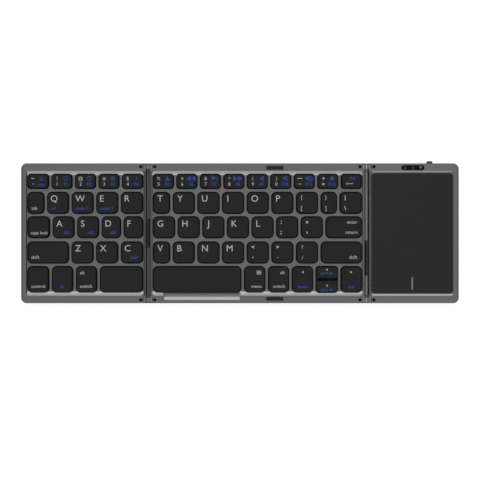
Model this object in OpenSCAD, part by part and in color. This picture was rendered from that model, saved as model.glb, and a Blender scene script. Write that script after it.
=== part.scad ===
// Folding keyboard: a key panel between two wings that fold in over it on two-axis hinges.
// The left wing and the middle panel hold the keys, the right wing holds a touchpad.
// Millimetres. +X runs to the right, +Y to the rear edge, +Z up.
// The origin lies on the desk, under the middle of the opened outline.

/* [Overall size] */
// Width of the left wing, from its free edge to the middle of its hinge
left_wing_w = 88.75; // [70:0.05:110]
// Width of the right wing, from its free edge to the middle of its hinge
right_wing_w = 64.35; // [54:0.05:80]
// Gap between the two free edges when both wings lie folded on the middle panel
fold_end_gap = 0.4; // [0.2:0.1:2]
// Front to back depth of the panels
panel_depth = 98; // [82:0.5:120]
// Height of the rim above the desk
rim_top = 6.8; // [6.6:0.1:8.5]
// Radius of the four outer corners, seen from above
corner_r = 4; // [2.5:0.5:8]

/* [Covers] */
// Height of a back cover from its underside to the seam
cover_h = 2; // [1.8:0.1:2.2]
// Thickness of a back cover's floor
floor_t = 1; // [0.8:0.1:1.2]
// Thickness of the outer walls
wall = 1.2; // [1:0.1:1.4]
// Thickness of the wall beside a hinge
hinge_wall = 1.4; // [1.2:0.1:1.6]
// Bevel along the upper outer edges
top_bevel = 0.4; // [0.2:0.1:0.6]
// Width of the slope along the free ends
end_slope_w = 1.5; // [0.5:0.1:2]
// Depth of the slope along the free ends
end_slope_h = 0.5; // [0.2:0.1:0.6]
// Bevel along the lower outer edges
bottom_bevel = 1.4; // [0.6:0.1:1.6]
// Height of the locating lip above the seam
lip_h = 0.5; // [0.3:0.1:0.5]
// Thickness of the locating lip
lip_t = 0.6; // [0.4:0.1:0.8]
// Gap between the lip and the wall that it locates
lip_clear = 0.1; // [0.05:0.05:0.2]

/* [Rim and deck] */
// Width of the flat rim along the front and rear edges
front_rim = 5.2; // [4.8:0.1:6.5]
// Width from a free edge to the nearest keys
side_rim = 3.95; // [3.5:0.05:8]
// Width of the strip between the keys and a panel edge at a hinge
hinge_strip = 1.95; // [1.6:0.05:2.5]
// Width of the sloping edge in front of and behind the keys
recess_bevel = 3; // [1:0.1:3.2]
// Distance from that edge's top to the nearest keys
key_margin = 1.85; // [1.6:0.05:3]
// Corner radius of the recesses round the keys and the touchpad, seen from above
recess_r = 2.6; // [1:0.1:3]
// Depth of the deck below the rim
key_recess = 1.4; // [1.2:0.1:1.6]
// Thickness of the deck between the keys
deck_t = 0.8; // [0.6:0.1:1]
// Left end of the thumb relief, measured from the middle panel's left edge
relief_from = 9.95; // [8:0.05:20]
// Length of the thumb relief in front of the space bar
relief_w = 53.7; // [30:0.1:60]
// Width of the rim that is left in front of the thumb relief
relief_rim = 2.3; // [2:0.1:3]
// Width of the slope that closes the thumb relief
relief_bevel = 2.1; // [1:0.1:2.5]
// Height that the relief's hollow floor climbs up to that slope
relief_lift = 0.6; // [0.2:0.1:0.8]

/* [Keys] */
// Gap between neighbouring keys in a row
key_gap = 1.5; // [1:0.05:1.8]
// Gap between rows
row_gap = 1.5; // [1.2:0.05:2]
// Gap between the up and down arrow keys
arrow_gap = 1; // [0.8:0.1:1.4]
// Height of a keycap
cap_h = 1.5; // [1.3:0.1:1.6]
// Depth of a keycap's top below the rim
cap_drop = 0.1; // [0:0.05:0.3]
// Travel of a key
key_travel = 1.3; // [0.8:0.1:1.6]
// Corner radius of a keycap
cap_r = 2.9; // [1:0.1:3.2]
// Corner radius of the low keycaps: the rear row, and the up and down arrow keys
low_cap_r = 2.1; // [1:0.1:2.6]
// Bevel round a keycap's top
cap_bevel = 0.3; // [0.1:0.05:0.4]
// Thickness of a keycap's top
cap_top_t = 0.9; // [0.7:0.05:1]
// Thickness of a keycap's skirt
cap_wall = 0.9; // [0.6:0.1:1.2]
// Gap between a keycap and its opening in the deck
cap_clear = 0.25; // [0.2:0.05:0.35]
// Radius of a rubber dome at its foot
dome_r = 2.6; // [2:0.1:3]
// Thickness of the dome sheet
sheet_t = 0.3; // [0.2:0.05:0.4]
// Thickness of the steel plate under the dome sheet
plate_t = 0.3; // [0.2:0.05:0.5]

/* [Hinges] */
// Gap between two panels at a hinge
panel_gap = 2.8; // [2.6:0.1:3.4]
// Distance between a hinge's two pins
pin_gap = 4.2; // [4.1:0.1:4.6]
// Depth of the pins below the rim
pin_drop = 1.3; // [1.25:0.05:1.5]
// Radius of a pin
pin_r = 0.7; // [0.5:0.05:0.8]
// Radial play of a pin in its panel
pin_play = 0.04; // [0.02:0.01:0.08]
// Length of a pin
pin_l = 5.2; // [4.6:0.1:5.4]
// Thickness of a link
link_t = 3; // [2:0.1:3.2]
// Radius of a link's rounded end
link_r = 1.2; // [1.1:0.05:1.25]
// Gap between a link and its pocket
link_clear = 0.15; // [0.1:0.05:0.2]
// Thickness of the ear outside a link
ear_t = 0.8; // [0.6:0.1:1]
// Gap between the spine and the panels when they are folded
spine_clear = 0.1; // [0.05:0.05:0.2]
// Width of the spine's rib
rib_w = 0.8; // [0.6:0.05:1.2]
// Depth of the spine's top below the rim
spine_drop = 0.3; // [0.2:0.1:0.6]
// Middle of the cable sleeve along the left hinge
left_sleeve_y = 0.2; // [-10:0.1:10]
// Length of the cable sleeve in the left hinge
left_sleeve_l = 20; // [12:0.5:30]
// Middle of the cable sleeve along the right hinge
right_sleeve_y = -17.4; // [-20:0.1:10]
// Length of the cable sleeve in the right hinge
right_sleeve_l = 24.7; // [12:0.1:30]
// Distance from the middle of a hinge to its corner screws
screw_from_hinge = 4.9; // [4.8:0.1:6]
// Distance from the front or rear edge to a corner screw
screw_inset = 2.4; // [2.3:0.1:2.6]

/* [Touchpad] */
// Width from the hinge edge of the right wing to the touchpad
pad_from_hinge = 1.95; // [1.8:0.05:4]
// Width from the free edge of the right wing to the touchpad
pad_side_rim = 4.2; // [3.6:0.05:8]
// Depth of the touchpad's top below the rim
pad_drop = 0.4; // [0.2:0.1:0.6]
// Thickness of the touchpad's face
pad_t = 0.7; // [0.5:0.1:0.8]
// Width of the sloping edge in front of and behind the touchpad
pad_bevel = 1.3; // [0.8:0.1:1.6]
// Corner radius of the touchpad
pad_r = 2; // [1:0.1:4]
// Gap round the touchpad
pad_clear = 0.15; // [0.1:0.05:0.3]
// Width of the ledge that carries the touchpad
ledge_w = 1.6; // [1.2:0.1:2]
// Thickness of the touch sensor board
sensor_t = 0.8; // [0.6:0.1:0.9]

/* [Power, charging and lights] */
// Distance from the right hinge to the middle of the charging socket
socket_from_hinge = 15.55; // [14:0.05:17]
// Outer width of the charging socket
socket_w = 8.94; // [8.9:0.01:9]
// Outer height of the charging socket
socket_h = 3.16; // [3.1:0.01:3.2]
// Depth of the charging socket
socket_l = 6.3; // [5:0.1:6.4]
// Distance from the right hinge to the middle of the light window
window_from_hinge = 32.1; // [31:0.05:33]
// Length of the light window
window_w = 16.2; // [14:0.1:17]
// Width of the light window
window_d = 3.6; // [3:0.1:3.7]
// Distance between neighbouring lights
light_pitch = 5.3; // [4:0.1:5.5]
// Distance from the right hinge to the middle of the power switch
switch_from_hinge = 44.5; // [44:0.05:46]
// Width of the power switch's nub
nub_w = 3.9; // [3:0.1:4.5]
// Height of the power switch's nub
nub_h = 1.4; // [1:0.1:1.4]
// Length of the nub that stands out of the rear edge
nub_out = 1.7; // [0.8:0.1:2]
// Travel of the power switch
switch_travel = 2; // [1.5:0.1:2.5]
// Thickness of a circuit board
board_t = 0.8; // [0.6:0.1:1]
// Length of the battery, front to back
battery_l = 50; // [30:1:54]
// Width of the battery
battery_w = 38; // [24:1:40]

/* [Feet and rest pads] */
// Height that the feet stand out of the back covers
foot_h = 0.6; // [0.4:0.1:0.8]
// Depth of a foot's seat
foot_seat = 0.3; // [0.2:0.1:0.4]
// Length of a foot
foot_l = 16; // [8:1:20]
// Width of a foot
foot_w = 5; // [4:0.5:8]
// Distance from the hinge or free edge of a panel to the middle of a foot
foot_inset = 13.5; // [12:0.5:16]
// Distance from the front or rear edge to the middle of a foot
foot_rear_inset = 8.75; // [7:0.25:16]
// Length of a rest pad
rest_l = 11.8; // [8:0.1:14]
// Width of a rest pad
rest_w = 2.4; // [1.5:0.1:3]
// Depth of a rest pad's seat in the rim
rest_seat = 0.4; // [0.3:0.1:0.6]
// Gap that a rest pad leaves under the folded wings
rest_clear = 0.2; // [0.1:0.1:0.4]

/* [Hidden] */
$fn = 48;

// How far a cutting shape runs past the face that it cuts
over = 1;
// Numbers of the panels, and of the hinges in the order that they stand in
LEFT = 0;
MIDDLE = 1;
RIGHT = 2;

// Plan of the three panels
mid_w = left_wing_w + right_wing_w + fold_end_gap;
total_w = left_wing_w + mid_w + right_wing_w;
hinge_x = [left_wing_w - total_w / 2, total_w / 2 - right_wing_w];
panel_x = [
    [-total_w / 2, hinge_x[LEFT] - panel_gap / 2],
    [hinge_x[LEFT] + panel_gap / 2, hinge_x[MIDDLE] - panel_gap / 2],
    [hinge_x[MIDDLE] + panel_gap / 2, total_w / 2]];
half_d = panel_depth / 2;
// Which ends of each panel are free, left end first
free_end = [[true, false], [false, false], [false, true]];

// Heights of the layers
bottom_z = foot_h;
floor_z = bottom_z + floor_t;
seam_z = bottom_z + cover_h;
deck_z = rim_top - key_recess;
deck_under_z = deck_z - deck_t;
cap_top_z = rim_top - cap_drop;
cap_low_z = cap_top_z - cap_h;
// Gap that a pressed key leaves over the dome sheet
press_clear = 0.1;
sheet_z = cap_low_z - key_travel - press_clear - sheet_t;
plate_z = sheet_z - plate_t;
axis_z = rim_top - pin_drop;

// Rows of keys, from the rear: share of the depth, and widths along each row of each key panel
row_share = [11, 16.05, 15.8, 15.9, 19.15];
row_widths = [
    [[15.5, 15, 15, 15, 15], [12.4, 15.7, 15.8, 15.8, 15.8], [16.3, 15.7, 15.7, 13.9, 13.9],
        [29.5, 15.8, 15.8, 15.8], [15.7, 15.4, 15.3, 30.6]],
    [[15, 15, 15, 15, 15, 15, 15, 15, 15],
        [12.4, 15.8, 15.8, 15.8, 15.8, 15.8, 15.8, 11.7, 15.9],
        [15.9, 15.8, 15.8, 15.8, 15.8, 15.8, 15.8, 25.8],
        [12.4, 15.8, 15.8, 15.8, 15.8, 15.8, 15.8, 29.1], [62.4, 15.3, 15.2, 15.3, 15.9, 15.2]]];
last_row = len(row_share) - 1;
// Place in the middle panel's front row of the pair of arrow keys
arrow_pair = 4;
// Radius of the arrow keys' corners where they face each other
arrow_r = 0.6;
WHOLE = 0;
UPPER = 1;
LOWER = 2;

// Rounds a length to a hundredth of a millimetre
function hundredth(v) = round(v * 100) / 100;
function part_sum(v, n) = n > 0 ? v[n - 1] + part_sum(v, n - 1) : 0;
function sum(v) = part_sum(v, len(v));

field_y = half_d - front_rim - key_margin;
// Foot of the sloping edges, which run down between the outer keys
slope_foot_y = half_d - front_rim - recess_bevel;
field_x = [
    [panel_x[LEFT][0] + side_rim, panel_x[LEFT][1] - hinge_strip],
    [panel_x[MIDDLE][0] + hinge_strip, panel_x[MIDDLE][1] - hinge_strip]];
row_scale = (2 * field_y - last_row * row_gap) / sum(row_share);

function row_rear(r) = hundredth(field_y - part_sum(row_share, r) * row_scale - r * row_gap);
function row_front(r) = hundredth(row_rear(r) - row_share[r] * row_scale);
function width_scale(p, r) =
    (field_x[p][1] - field_x[p][0] - (len(row_widths[p][r]) - 1) * key_gap) / sum(row_widths[p][r]);
function key_left(p, r, k) =
    hundredth(field_x[p][0] + part_sum(row_widths[p][r], k) * width_scale(p, r) + k * key_gap);
function key_right(p, r, k) =
    hundredth(key_left(p, r, k) + row_widths[p][r][k] * width_scale(p, r));
function is_pair(p, r, k) = p == MIDDLE && r == last_row && k == arrow_pair;
function pair_middle() = (row_rear(last_row) + row_front(last_row)) / 2;
// Front left and rear right corners of a key, or of one half of the pair of arrow keys
function key_lo(p, r, k, half) =
    [key_left(p, r, k), half == UPPER ? pair_middle() + arrow_gap / 2 : row_front(r)];
function key_hi(p, r, k, half) =
    [key_right(p, r, k), half == LOWER ? pair_middle() - arrow_gap / 2 : row_rear(r)];
// Corner radii in the order front left, front right, rear right, rear left
function key_radii(p, r, k, half) =
    half == UPPER ? [arrow_r, arrow_r, low_cap_r, low_cap_r] :
    half == LOWER ? [low_cap_r, low_cap_r, arrow_r, arrow_r] :
    [for (i = [0:3]) r == 0 || is_pair(p, r, k) ? low_cap_r : cap_r];

// Start of a cover's lip, measured from a hinge edge
lip_from_hinge = 8;

// Hinge parts: the link lies between an ear and the rim, mirrored at the front end
link_y = [half_d - ear_t - link_clear / 2 - link_t, half_d - ear_t - link_clear / 2];
link_grip = 0.01;
pin_inset = 0.2;
pin_y = [half_d - pin_inset - pin_l, half_d - pin_inset];
pin_end_clear = 0.1;
// The inner knuckle runs past the pin's end, and stands on a block inside the panel
block_past_pin = 0.5;
block_y = pin_y[0] - block_past_pin;
block_from_edge = [0.2, 2.7];
// How far a block, post or boss is rooted in the wall that carries it
root = 0.2;
// The spine is a rib between the two noses, on a base that closes the grooves from below
spine_top = rim_top - spine_drop;
spine_lift = 0.6;
spine_low = bottom_z + spine_lift;
spine_bevel = 0.2;
base_w = panel_gap - 2 * spine_clear;
base_top = axis_z - pin_drop - spine_clear;
base_bevel = 0.3;
sleeve_w = pin_gap - 2 * pin_drop - 2 * spine_clear;
sleeve_y = [left_sleeve_y, right_sleeve_y];
sleeve_l = [left_sleeve_l, right_sleeve_l];
// The cable passes under the sleeve and under the steel plates, through a slot in each panel's wall
cable_t = 0.2;
cable_under_plate = 0.25;
cable_z = plate_z - cable_under_plate - cable_t;
cable_edge = 3;
cable_reach = 4.6;
slot_clear = 0.15;
slot_z = hundredth(cable_z - slot_clear);
slot_top = cable_z + cable_t + slot_clear;
notch_z = slot_z - 0.2;
sleeve_z = slot_top;

// The steel plate and the dome sheet have one outline, which clears the walls and the pin blocks
plate_clear = 0.2;
plate_past_keys = 0.7;
plate_y = min(field_y + plate_past_keys, block_y - plate_clear);
plate_radii = [1, 1, 1, 1];
plate_slot_l = 7;
plate_slot_w = 2.4;
function plate_side(p, e) = free_end[p][e] ? side_rim - plate_past_keys : hinge_wall + plate_clear;
function plate_lo(p) = [panel_x[p][0] + plate_side(p, 0), -plate_y];
function plate_hi(p) = [panel_x[p][1] - plate_side(p, 1), plate_y];
// Rubber domes: what they narrow by towards the top, and the gap under the keycap
dome_taper = 1;
dome_clear = 0.05;
// Width of the steep side walls of the recess
deck_side = 0.1;
// Least radius of an inner corner
inner_r = 0.3;

// Corner screws
screw_y = half_d - screw_inset;
screw_head_r = 1.1;
screw_r = 0.6;
screw_cone = 0.6;
screw_sunk = 0.05;
screw_bite = 0.04;
screw_play = 0.1;
boss_r = 1.1;
screw_foot = 0.5;
screw_low = floor_z + screw_foot;
// Cross recess in a screw's head
cross_l = 1.3;
cross_w = 0.3;
cross_h = 0.3;

// Touchpad
pad_x = [panel_x[RIGHT][0] + pad_from_hinge, panel_x[RIGHT][1] - pad_side_rim];
bezel_y = half_d - front_rim - pad_bevel;
bezel_margin = 0.45;
pad_y = bezel_y - bezel_margin;
pad_top = rim_top - pad_drop;
pad_low = pad_top - pad_t;
pad_proud = 0.1;
bezel_z = pad_top - pad_proud;
bezel_side = 0.6;
sensor_z = pad_low - sensor_t;
sensor_edge = ledge_w + 0.3;

// Main board, its switch, the charging socket and the lights
standoff_h = 0.3;
board_z = floor_z + standoff_h;
board_top = board_z + board_t;
board_x = [panel_x[RIGHT][0] + hinge_wall + 4.5, panel_x[RIGHT][1] - wall - 4];
board_rear = half_d - wall - 1.2;
board_l = 14;
board_front = board_rear - board_l;
// Standoffs stand under the board's corners, and the two in front have a stub that locates it
standoff_r = 1.8;
standoff_inset = [3, 3, 4];
stub_r = 0.8;
stub_clear = 0.1;
// Width, depth and height of the parts on the board
processor = [6, 6, 0.9];
radio = [11, 8, 1.4];
light_chip = [1.6, 0.8, 0.5];
touch_chip = [5, 5, 0.9];
touch_plug = [10, 3, 1];
chip_row = board_front + 5;
socket_x = hinge_x[MIDDLE] + socket_from_hinge;
socket_lift = 0.2;
socket_z = floor_z + socket_lift + socket_h / 2;
socket_inset = 0.1;
socket_mouth = half_d - socket_inset;
socket_wall = 0.3;
socket_clear = 0.1;
socket_back = socket_mouth - socket_l;
socket_back_t = 0.6;
tongue = [6.7, 0.7];
tongue_inset = 0.7;
tab_w = 1.2;
tab_t = 0.3;
tab_overlap = 0.2;
window_x = hinge_x[MIDDLE] + window_from_hinge;
window_rim = 1.3;
window_y = half_d - window_rim - window_d / 2;
window_sunk = 0.05;
window_top = rim_top - window_sunk;
window_t = 1.25;
window_low = window_top - window_t;
window_clear = 0.05;
light_r = 0.55;
light_clear = 0.1;
light_past = 0.6;
switch_x = hinge_x[MIDDLE] + switch_from_hinge;
nub_lift = 0.05;
switch_z = (seam_z + deck_under_z) / 2 + nub_lift;
nub_clear = 0.1;
nub_bevel = 0.4;
flange_t = 0.8;
flange_w = nub_w + 2.4;
flange_h = deck_under_z - seam_z - 0.2;
// Switch body on the board, with a groove for the knob's lever
switch_body = [9, 3.4, 1.6];
switch_y = board_rear - 1.9;
lever_w = 1.2;
lever_t = 0.6;
lever_z = board_top + 0.8;
lever_end = board_rear - 1.2;
lever_clear = 0.2;
groove = [lever_w + switch_travel + 2 * lever_clear, 2.8, 0.8];
// Pouch cell and the fence that locates it on the back cover
battery_clear = 0.5;
battery_t = sensor_z - floor_z - battery_clear;
battery_x = (panel_x[RIGHT][0] + panel_x[RIGHT][1]) / 2;
battery_y = -8;
battery_lo = [battery_x - battery_w / 2, battery_y - battery_l / 2];
battery_hi = [battery_x + battery_w / 2, battery_y + battery_l / 2];
battery_r = 2;
fence_gap = 0.3;
fence_t = 0.8;
fence_h = 1.2;

// Rest pads lie where the two folded free edges meet
rest_x = hinge_x[LEFT] + left_wing_w + fold_end_gap / 2;
rest_inset = 3.15;
rest_y = half_d - rest_inset;
rest_r = 0.5;
rest_top = rim_top + pin_gap - 2 * pin_drop - rest_clear;

// Posts between the cover and the deck stand in the gaps between rows
post_r = 1.2;
web_post_r = 0.45;
post_cols = [4, 7];

// Extrudes an outline drawn in Y and Z from x0 to x1
module along_x(x0, x1) translate([x0, 0, 0]) rotate([90, 0, 90]) linear_extrude(x1 - x0) children();
// Extrudes an outline drawn in X and Z from y0 to y1
module along_y(y0, y1) translate([0, y1, 0]) rotate([90, 0, 0]) linear_extrude(y1 - y0) children();
module box(lo, hi) translate(lo) cube(hi - lo);
// Repeats what is drawn at the rear edge at the front edge too
module both_edges() {
    children();
    mirror([0, 1, 0]) children();
}

// Rectangle with its own radius at each corner
module rounded(lo, hi, radii) {
    corners = [lo, [hi.x, lo.y], hi, [lo.x, hi.y]];
    difference() {
        translate(lo) square(hi - lo);
        for (i = [0:3]) translate(corners[i]) rotate(90 * i) difference() {
            translate([-over, -over]) square(radii[i] + over);
            translate([radii[i], radii[i]]) circle(radii[i]);
        }
    }
}
module rounded_block(lo, hi, z0, z1, radii)
    translate([0, 0, z0]) linear_extrude(z1 - z0) rounded(lo, hi, radii);
// Bar with round ends, centred, in any outline plane
module pill(l, w) {
    square([l - w, w], center = true);
    for (s = [-1, 1]) translate([s * (l - w) / 2, 0]) circle(w / 2);
}

// What a rounded upright corner takes off a square one, with bevels of low and high at its ends
module corner_cut(r, z0, z1, low, high) {
    grow = min(over, (r - max(low, high)) / 2);
    difference() {
        box([-over, -over, z0 - grow], [r, r, z1 + grow]);
        translate([r, r, 0]) rotate_extrude() polygon([[0, z0 - grow - over],
            [r - low - grow, z0 - grow - over], [r - low - grow, z0 - grow], [r, z0 + low],
            [r, z1 - high], [r - high - grow, z1 + grow], [r - high - grow, z1 + grow + over],
            [0, z1 + grow + over]]);
    }
}

// Block with a bevel round its top and its own radius at each upright corner
module bevelled_block(lo, hi, z0, z1, bevel, radii) {
    corners = [lo, [hi.x, lo.y], hi, [lo.x, hi.y]];
    difference() {
        intersection() {
            along_x(lo.x, hi.x) bevel_outline(lo.y, hi.y, z0, z1, bevel);
            along_y(lo.y, hi.y) bevel_outline(lo.x, hi.x, z0, z1, bevel);
        }
        for (i = [0:3]) translate(corners[i]) rotate(90 * i) difference() {
            grow = (radii[i] - bevel) / 2;
            box([-over, -over, z0 - over], [radii[i], radii[i], z1 + grow]);
            translate([radii[i], radii[i], 0]) rotate_extrude() polygon([[0, z0 - 2 * over],
                [radii[i], z0 - 2 * over], [radii[i], z1 - bevel],
                [radii[i] - bevel - grow, z1 + grow], [radii[i] - bevel - grow, z1 + 2 * over],
                [0, z1 + 2 * over]]);
        }
    }
}
module bevel_outline(a, b, z0, z1, bevel)
    polygon([[a, z0], [b, z0], [b, z1 - bevel], [b - bevel, z1], [a + bevel, z1], [a, z1 - bevel]]);

// Hollow with sloping walls and rounded corners, wider at its top by the two spreads
module sloped_pocket(x0, x1, y0, y1, z0, z1, spread_x, spread_y) {
    rise = (z1 - z0 + over) / (z1 - z0);
    intersection() {
        along_x(x0 - over - spread_x, x1 + over + spread_x) polygon([[y0, z0], [y1, z0],
            [y1 + spread_y * rise, z1 + over], [y0 - spread_y * rise, z1 + over]]);
        along_y(y0 - over - spread_y, y1 + over + spread_y) polygon([[x0, z0], [x1, z0],
            [x1 + spread_x * rise, z1 + over], [x0 - spread_x * rise, z1 + over]]);
        rounded_block([x0 - spread_x, y0 - spread_y], [x1 + spread_x, y1 + spread_y], z0 - over,
            z1 + 2 * over, [for (i = [0:3]) recess_r]);
    }
}

// Outer form of panel p, top and back cover together
module panel_form(p) {
    x = panel_x[p];
    low = [for (e = [0, 1]) free_end[p][e] ? bottom_bevel : top_bevel];
    right_top = free_end[p][1] ?
        [[x[1], rim_top - end_slope_h], [x[1] - end_slope_w, rim_top]] : [[x[1], rim_top]];
    left_top = free_end[p][0] ?
        [[x[0] + end_slope_w, rim_top], [x[0], rim_top - end_slope_h]] : [[x[0], rim_top]];
    difference() {
        intersection() {
            along_x(x[0] - over, x[1] + over) polygon([[bottom_bevel - half_d, bottom_z],
                [half_d - bottom_bevel, bottom_z], [half_d, bottom_z + bottom_bevel],
                [half_d, rim_top - top_bevel], [half_d - top_bevel, rim_top],
                [top_bevel - half_d, rim_top], [-half_d, rim_top - top_bevel],
                [-half_d, bottom_z + bottom_bevel]]);
            union() {
                along_y(-half_d - over, half_d + over) difference() {
                    polygon(concat([[x[0] + low[0], bottom_z], [x[1] - low[1], bottom_z],
                        [x[1], bottom_z + low[1]]], right_top, left_top, [[x[0], bottom_z + low[0]]]));
                    for (e = [0, 1]) if (!free_end[p][e]) nose_cut(p, e);
                }
                for (e = [0, 1]) if (!free_end[p][e]) both_edges() knuckles(p, e);
            }
        }
        for (e = [0, 1]) if (free_end[p][e]) both_edges()
            translate([x[e], half_d, 0]) rotate(e == 1 ? 180 : 270)
                corner_cut(corner_r, bottom_z, rim_top, bottom_bevel, top_bevel);
    }
}
// Place of the pin at end e of panel p, and the direction from it to the hinge's middle
function pin_x(p, e) = hinge_x[p + e - 1] + (e == 1 ? -1 : 1) * pin_gap / 2;
function to_hinge(e) = e == 1 ? 1 : -1;
// Rounds a panel's upper hinge edge about its pin, in X and Z
module nose_cut(p, e) translate([pin_x(p, e), axis_z]) mirror([e == 1 ? 0 : 1, 0]) difference() {
    square(pin_drop + over);
    circle(pin_drop);
}

// Full round noses that hold the pins on both sides of a link
module knuckles(p, e)
    for (y = [[block_y, link_y[0] - link_clear / 2], [link_y[1] + link_clear / 2, half_d + over]])
        along_y(y[0], y[1]) translate([pin_x(p, e), axis_z]) circle(pin_drop);
// Block below the inner knuckle, inside the panel
module pin_blocks(p) for (e = [0, 1]) if (!free_end[p][e]) both_edges() {
    x = [for (d = block_from_edge) panel_x[p][e] - to_hinge(e) * d];
    box([min(x), block_y, seam_z], [max(x), link_y[0] - link_clear / 2, deck_under_z + root]);
}

module slab(z0, z1) box([-total_w, -panel_depth, z0], [total_w, panel_depth, z1]);
// Hollow inside panel p, drawn in by inset from all its walls but those beside a hinge
module cavity(p, z0, z1, inset = 0) {
    x0 = panel_x[p][0] + (free_end[p][0] ? wall + inset : hinge_wall);
    x1 = panel_x[p][1] - (free_end[p][1] ? wall + inset : hinge_wall);
    y = half_d - wall - inset;
    r = corner_r - wall - inset;
    radii = [for (e = [0, 1, 1, 0]) free_end[p][e] ? r : inner_r];
    rounded_block([x0, -y], [x1, y], z0, z1, radii);
}

// Cuts that a panel's top needs at its hinge ends
module hinge_cuts(p) {
    pocket = link_r + link_clear;
    for (e = [0, 1]) if (!free_end[p][e]) {
        both_edges() {
            along_y(link_y[0] - link_clear / 2, link_y[1] + link_clear / 2)
                translate([pin_x(p, e), axis_z]) mirror([e == 1 ? 0 : 1, 0]) {
                    circle(pocket);
                    translate([-pocket, 0]) square([2 * pocket, pin_drop + over]);
                    translate([0, -pocket]) square([pin_gap, pocket + pin_drop + over]);
                }
            along_y(pin_y[0] - pin_end_clear, half_d + over) translate([pin_x(p, e), axis_z])
                circle(pin_r + pin_play);
            screw_at(p, e) screw_hole();
        }
        cable_slot(p, e, min(slot_z, seam_z - over), slot_top);
    }
}
module cable_slot(p, e, z0, z1) {
    h = p + e - 1;
    edge = panel_x[p][e];
    span = sleeve_l[h] / 2 - cable_edge + slot_clear;
    box([edge - hinge_wall - over, sleeve_y[h] - span, z0],
        [edge + hinge_wall + over, sleeve_y[h] + span, z1]);
}
module screw_at(p, e)
    translate([hinge_x[p + e - 1] - to_hinge(e) * screw_from_hinge, screw_y, 0]) children();
module screw_hole() {
    hole_r = screw_r + screw_play;
    head_r = screw_head_r + screw_play;
    rotate_extrude() polygon([[0, seam_z - over], [hole_r, seam_z - over],
        [hole_r, rim_top - screw_sunk - screw_cone], [head_r, rim_top - screw_sunk],
        [head_r, rim_top + over], [0, rim_top + over]]);
}

// Posts under the deck and on the cover hold the plate between them
function post_x(p, c) = field_x[p][0] + (field_x[p][1] - field_x[p][0]) * (c + 0.5) / post_cols[p];
function post_y(r) = row_front(r) - row_gap / 2;
module posts(p, r, z0, z1)
    for (c = [0:post_cols[p] - 1]) for (row = [0:last_row - 1])
        translate([post_x(p, c), post_y(row), z0]) cylinder(r = r, h = z1 - z0);

// Openings that the keys of panel p move in, one for the pair of arrow keys
module key_openings(p) for (r = [0:last_row]) for (k = [0:len(row_widths[p][r]) - 1])
    rounded_block(key_lo(p, r, k, WHOLE) - [cap_clear, cap_clear],
        key_hi(p, r, k, WHOLE) + [cap_clear, cap_clear], deck_under_z - over, rim_top + over,
        [for (corner = key_radii(p, r, k, WHOLE)) corner + cap_clear]);

// Hollow top of a panel with its knuckles, before anything is let into it
module panel_top(p) difference() {
    union() {
        difference() {
            intersection() {
                panel_form(p);
                slab(seam_z, rim_top + over);
            }
            cavity(p, seam_z - over, deck_under_z);
        }
        pin_blocks(p);
    }
    hinge_cuts(p);
}

// Top of a key panel: rim, sunken deck and key openings
module key_deck(p) {
    side = cap_clear + deck_side;
    difference() {
        panel_top(p);
        sloped_pocket(field_x[p][0] - side, field_x[p][1] + side, -slope_foot_y, slope_foot_y,
            deck_z, rim_top, deck_side, recess_bevel);
        key_openings(p);
    }
    posts(p, web_post_r, sheet_z + sheet_t, deck_under_z + root);
}

// Tray with a lip that locates the top on it, left open beside the hinges
module back_cover(p) {
    difference() {
        union() {
            difference() {
                union() {
                    intersection() {
                        panel_form(p);
                        slab(bottom_z - over, seam_z);
                    }
                    intersection() {
                        cavity(p, floor_z, seam_z + lip_h, lip_clear);
                        box([panel_x[p][0] + (free_end[p][0] ? 0 : lip_from_hinge), -half_d, 0],
                            [panel_x[p][1] - (free_end[p][1] ? 0 : lip_from_hinge), half_d, rim_top]);
                    }
                }
                cavity(p, floor_z, seam_z + lip_h + over, lip_clear + lip_t);
            }
            for (e = [0, 1]) if (!free_end[p][e]) both_edges() screw_at(p, e)
                translate([0, 0, floor_z - floor_t / 2])
                    cylinder(r = boss_r, h = deck_under_z - floor_z + floor_t / 2);
        }
        for (e = [0, 1]) if (!free_end[p][e]) both_edges() screw_at(p, e)
            translate([0, 0, screw_low - root]) cylinder(r = screw_r + screw_bite, h = rim_top);
        foot_places(p) translate([0, 0, bottom_z - over])
            linear_extrude(over + foot_seat) pill(foot_l, foot_w);
        // A cable that lies low passes through the cover's wall too
        if (slot_z < hundredth(seam_z)) for (e = [0, 1]) if (!free_end[p][e])
            cable_slot(p, e, slot_z, seam_z + over);
    }
}
module key_cover(p) {
    back_cover(p);
    posts(p, post_r, floor_z - floor_t / 2, plate_z);
}
module foot_places(p) for (e = [0, 1]) for (s = [-1, 1])
    translate([panel_x[p][e] - to_hinge(e) * foot_inset, s * (half_d - foot_rear_inset), 0])
        children();
module feet(p) foot_places(p) linear_extrude(foot_h + foot_seat) pill(foot_l, foot_w);

module corner_screws(p) for (e = [0, 1]) if (!free_end[p][e]) both_edges() screw_at(p, e)
    difference() {
        rotate_extrude() polygon([[0, screw_low], [screw_r, screw_low],
            [screw_r, rim_top - screw_sunk - screw_cone], [screw_head_r, rim_top - screw_sunk],
            [0, rim_top - screw_sunk]]);
        for (a = [0, 90]) rotate(a) box([-cross_l / 2, -cross_w / 2, rim_top - screw_sunk - cross_h],
            [cross_l / 2, cross_w / 2, rim_top]);
    }

// Steel plate that backs the dome sheet, with slots that lighten it
module base_plate(p) {
    difference() {
        rounded_block(plate_lo(p), plate_hi(p), plate_z, plate_z + plate_t, plate_radii);
        for (c = [0:post_cols[p] - 1]) translate([post_x(p, c), 0, plate_z - over])
            linear_extrude(plate_t + 2 * over) pill(plate_slot_l, plate_slot_w);
    }
}
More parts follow.
